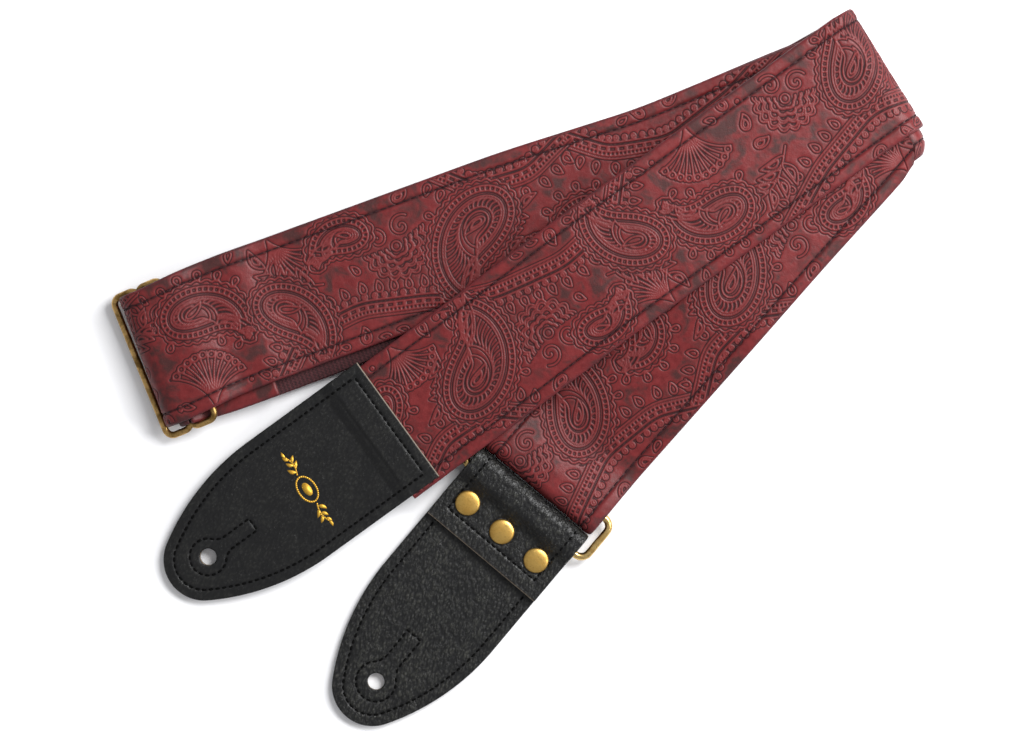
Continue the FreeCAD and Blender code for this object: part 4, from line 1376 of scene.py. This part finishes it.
a = np.linspace(-math.pi / 2, math.pi / 2, 40)
turn_path = np.column_stack([-RING_Z * np.cos(a), RING_Z + RING_Z * np.sin(a)])
flap_lip = FLAP_END - np.array([0.75, 0.4, 0.18, 0.06, 0.0])
flap_x = np.concatenate([np.arange(0.4, FLAP_END - 0.8, 0.4), flap_lip])
flap_z = eased(profile([(0, 9.0), (5.3, 9.0), (9.6, 5.3), (30, 5.3)], flap_x), 5)
path = np.vstack([turn_path, np.column_stack([flap_x, flap_z])])
outer = left_of(unit_rows(np.gradient(path, axis=0)))
outer[len(turn_path) :] = [0, 1]
travel = travelled(path)
half_b = np.full(len(path), TAB_WIDTH / 2)
half_b[-5:] -= np.array([0.0, 0.02, 0.08, 0.2, 0.35])
flap_y = across_places(half_b, 104)
flap_xs = np.broadcast_to(path[:, :1], flap_y.shape)
on_top = np.broadcast_to((np.arange(len(path)) >= len(turn_path) - 12)[:, None], flap_y.shape)
box_in = TAB_WIDTH / 2 - 5.0
box_line = np.array([[-3.4, box_in], [FLAP_END - 6.2, box_in], [FLAP_END - 6.2, -box_in], [-3.4, -box_in]])
flap_gap = np.where(on_top, distance_to([(box_line, False)], flap_xs, flap_y), 9.0)
flap_channel = np.exp(-((flap_gap / 0.55) ** 2))
flap_edge = np.minimum(half_b[:, None] - np.abs(flap_y), (travel[-1] - travel)[:, None])
drop = rounded_over(np.maximum(flap_edge, 0)) + 0.34 * flap_channel
drop = drop - 0.08 * leather_waves(flap_xs + travel[:, None], flap_y, 9) * smooth(0.5, 3.0, flap_edge)
# painted shade: a dark ring round each rivet cap, passed to the material in the channel value
painted_rivet_shade = np.zeros(flap_y.shape)
for row in RIVET_ROWS:
    away = np.hypot(flap_xs - RIVET_X, flap_y - row)
    drop = drop + np.where(on_top, 0.3 * np.exp(-(((away - 4.9) / 0.7) ** 2)), 0)
    painted_rivet_shade = np.maximum(painted_rivet_shade, np.where(on_top, np.exp(-(((away - 4.9) / 0.4) ** 2)), 0))
flap_zs = np.broadcast_to(path[:, 1:], flap_y.shape)
flap_top = np.stack([flap_xs - outer[:, :1] * drop, flap_y, flap_zs - outer[:, 1:] * drop], -1)
side_rows = []
for depth in (THICK_B, THICK_B - SKIN, SKIN):
    side_rows.append((path[:, 0] - outer[:, 0] * depth, path[:, 1] - outer[:, 1] * depth))
left = np.stack([np.column_stack([px, -half_b, pz]) for px, pz in side_rows], 1)
right = np.stack([np.column_stack([px, half_b, pz]) for px, pz in side_rows[::-1]], 1)
flap_ring = np.concatenate([left, flap_top, right], axis=1)
columns = flap_ring.shape[1]
kind = np.zeros(columns, int)
kind[1] = 1
kind[columns - 3] = 1
flap_faces = tube_faces(len(path), columns, True)
flap_kinds = list(np.tile(kind, len(path) - 1)) + [0, 0]
flap_points = plate_b.world(flap_ring.reshape(-1, 3))
flap = new_piece("tab_b_flap", flap_points, flap_faces, [TAB_B_LEATHER, TAB_CORE], True, flap_kinds)
marks = np.zeros((len(path), columns))
# the channel value holds the stitched box channel and the painted shade rings round the rivets
marks[:, 3:-3] = np.maximum(0.45 * flap_channel, painted_rivet_shade)
keep_value(flap, "channel", marks)
pale = np.zeros((len(path), columns))
pale[:, 3:-3] = (1 - smooth(0.1, 0.45, travel[-1] - travel))[:, None]
keep_value(flap, "cut", pale)
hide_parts("tab_b_lower_ply", "tab_b_core", "tab_b_upper_ply")
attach(flap, "tab_b")


def top_flap(x):
    return np.interp(x, path[len(turn_path) - 12 :, 0], path[len(turn_path) - 12 :, 1])


seam_flap = line_stitches("tab_b_flap_stitches", plate_b, [(box_line, False)], top_flap)
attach(seam_flap, "tab_b")

# ---- rivets ----
cap_line = [(0.0, 1.2), (1.6, 1.18), (2.8, 1.08), (3.6, 0.94)]
cap_line += [(4.15, 0.74), (4.5, 0.46), (4.66, 0.12), (4.6, -0.1)]
around = 56
for index, row in enumerate(RIVET_ROWS, start=1):
    points = [(RIVET_X, row, 5.3 + cap_line[0][1])]
    for radius, rise in cap_line[1:]:
        for k in range(around):
            angle = 2 * math.pi * k / around
            points.append((RIVET_X + radius * math.cos(angle), row + radius * math.sin(angle), 5.3 + rise))
    faces = [[0, 1 + k, 1 + (k + 1) % around] for k in range(around)]
    for ring in range(len(cap_line) - 2):
        for k in range(around):
            i = 1 + ring * around + k
            j = 1 + ring * around + (k + 1) % around
            faces.append([i, i + around, j + around, j])
    last = 1 + (len(cap_line) - 2) * around
    faces.append([last + k for k in range(around)][::-1])
    cap = new_piece("rivet_cap_dome_" + str(index), plate_b.world(points), faces, [RIVET_BRASS])
    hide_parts("rivet_cap_" + str(index))
    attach(cap, "tab_b")

# ---- finishes for the CAD parts that stay ----
finishes = {
    "ring": RING_BRASS,
    "slider": SLIDER_BRASS,
    "tab_a_core": TAB_CORE,
    "tab_a_lower_ply": TAB_A_LEATHER,
    "rivet_base_1": RIVET_BRASS,
    "rivet_base_2": RIVET_BRASS,
    "rivet_base_3": RIVET_BRASS,
}
for node, material in finishes.items():
    piece = frame["nodes"][node]
    piece.data.materials.clear()
    piece.data.materials.append(material)


# ---- light, floor and camera ----
def area_light(name, place, target, size, power):
    light = bpy.data.lights.new(name, "AREA")
    light.shape = "DISK"
    light.size = size
    light.energy = power
    holder = bpy.data.objects.new(name, light)
    bpy.context.scene.collection.objects.link(holder)
    holder.location = place
    away = np.array(place) - np.array(target)
    holder.rotation_mode = "QUATERNION"
    holder.rotation_quaternion = mathutils.Vector(away).to_track_quat("Z", "Y")
    return holder


area_light("window", (1.5, 0.0, 0.85), (0, 0, 0), 0.7, 16.5)
area_light("panel", (0.46, 0.4, 0.66), (0.05, 0.05, 0), 0.5, 10.5)

world = bpy.data.worlds.new("studio")
bpy.context.scene.world = world
world.use_nodes = True
world.node_tree.nodes["Background"].inputs["Color"].default_value = (0.965, 0.975, 1.0, 1.0)
world.node_tree.nodes["Background"].inputs["Strength"].default_value = 0.5
bpy.context.scene.view_settings.view_transform = "Standard"

floor_size = 6.0
floor_mesh = bpy.data.meshes.new("floor")
floor_corners = [(-1, -1, 0), (1, -1, 0), (1, 1, 0), (-1, 1, 0)]
floor_points = [tuple(np.array(c) * floor_size - UP * 0.0003) for c in floor_corners]
floor_mesh.from_pydata(floor_points, [], [(0, 1, 2, 3)])
floor_mesh.materials.append(pale_floor())
floor = bpy.data.objects.new("floor", floor_mesh)
bpy.context.scene.collection.objects.link(floor)

camera = bpy.data.cameras.new("camera")
camera.sensor_width = 36.0
camera.lens = 36.0 * 1.2 / 0.3755
camera.clip_start = 0.05
camera.clip_end = 20.0
viewer = bpy.data.objects.new("camera", camera)
bpy.context.scene.collection.objects.link(viewer)
viewer.location = (TOP_FOLD + [-130.57, -105.01, 1208.0]) * MM
bpy.context.scene.camera = viewer
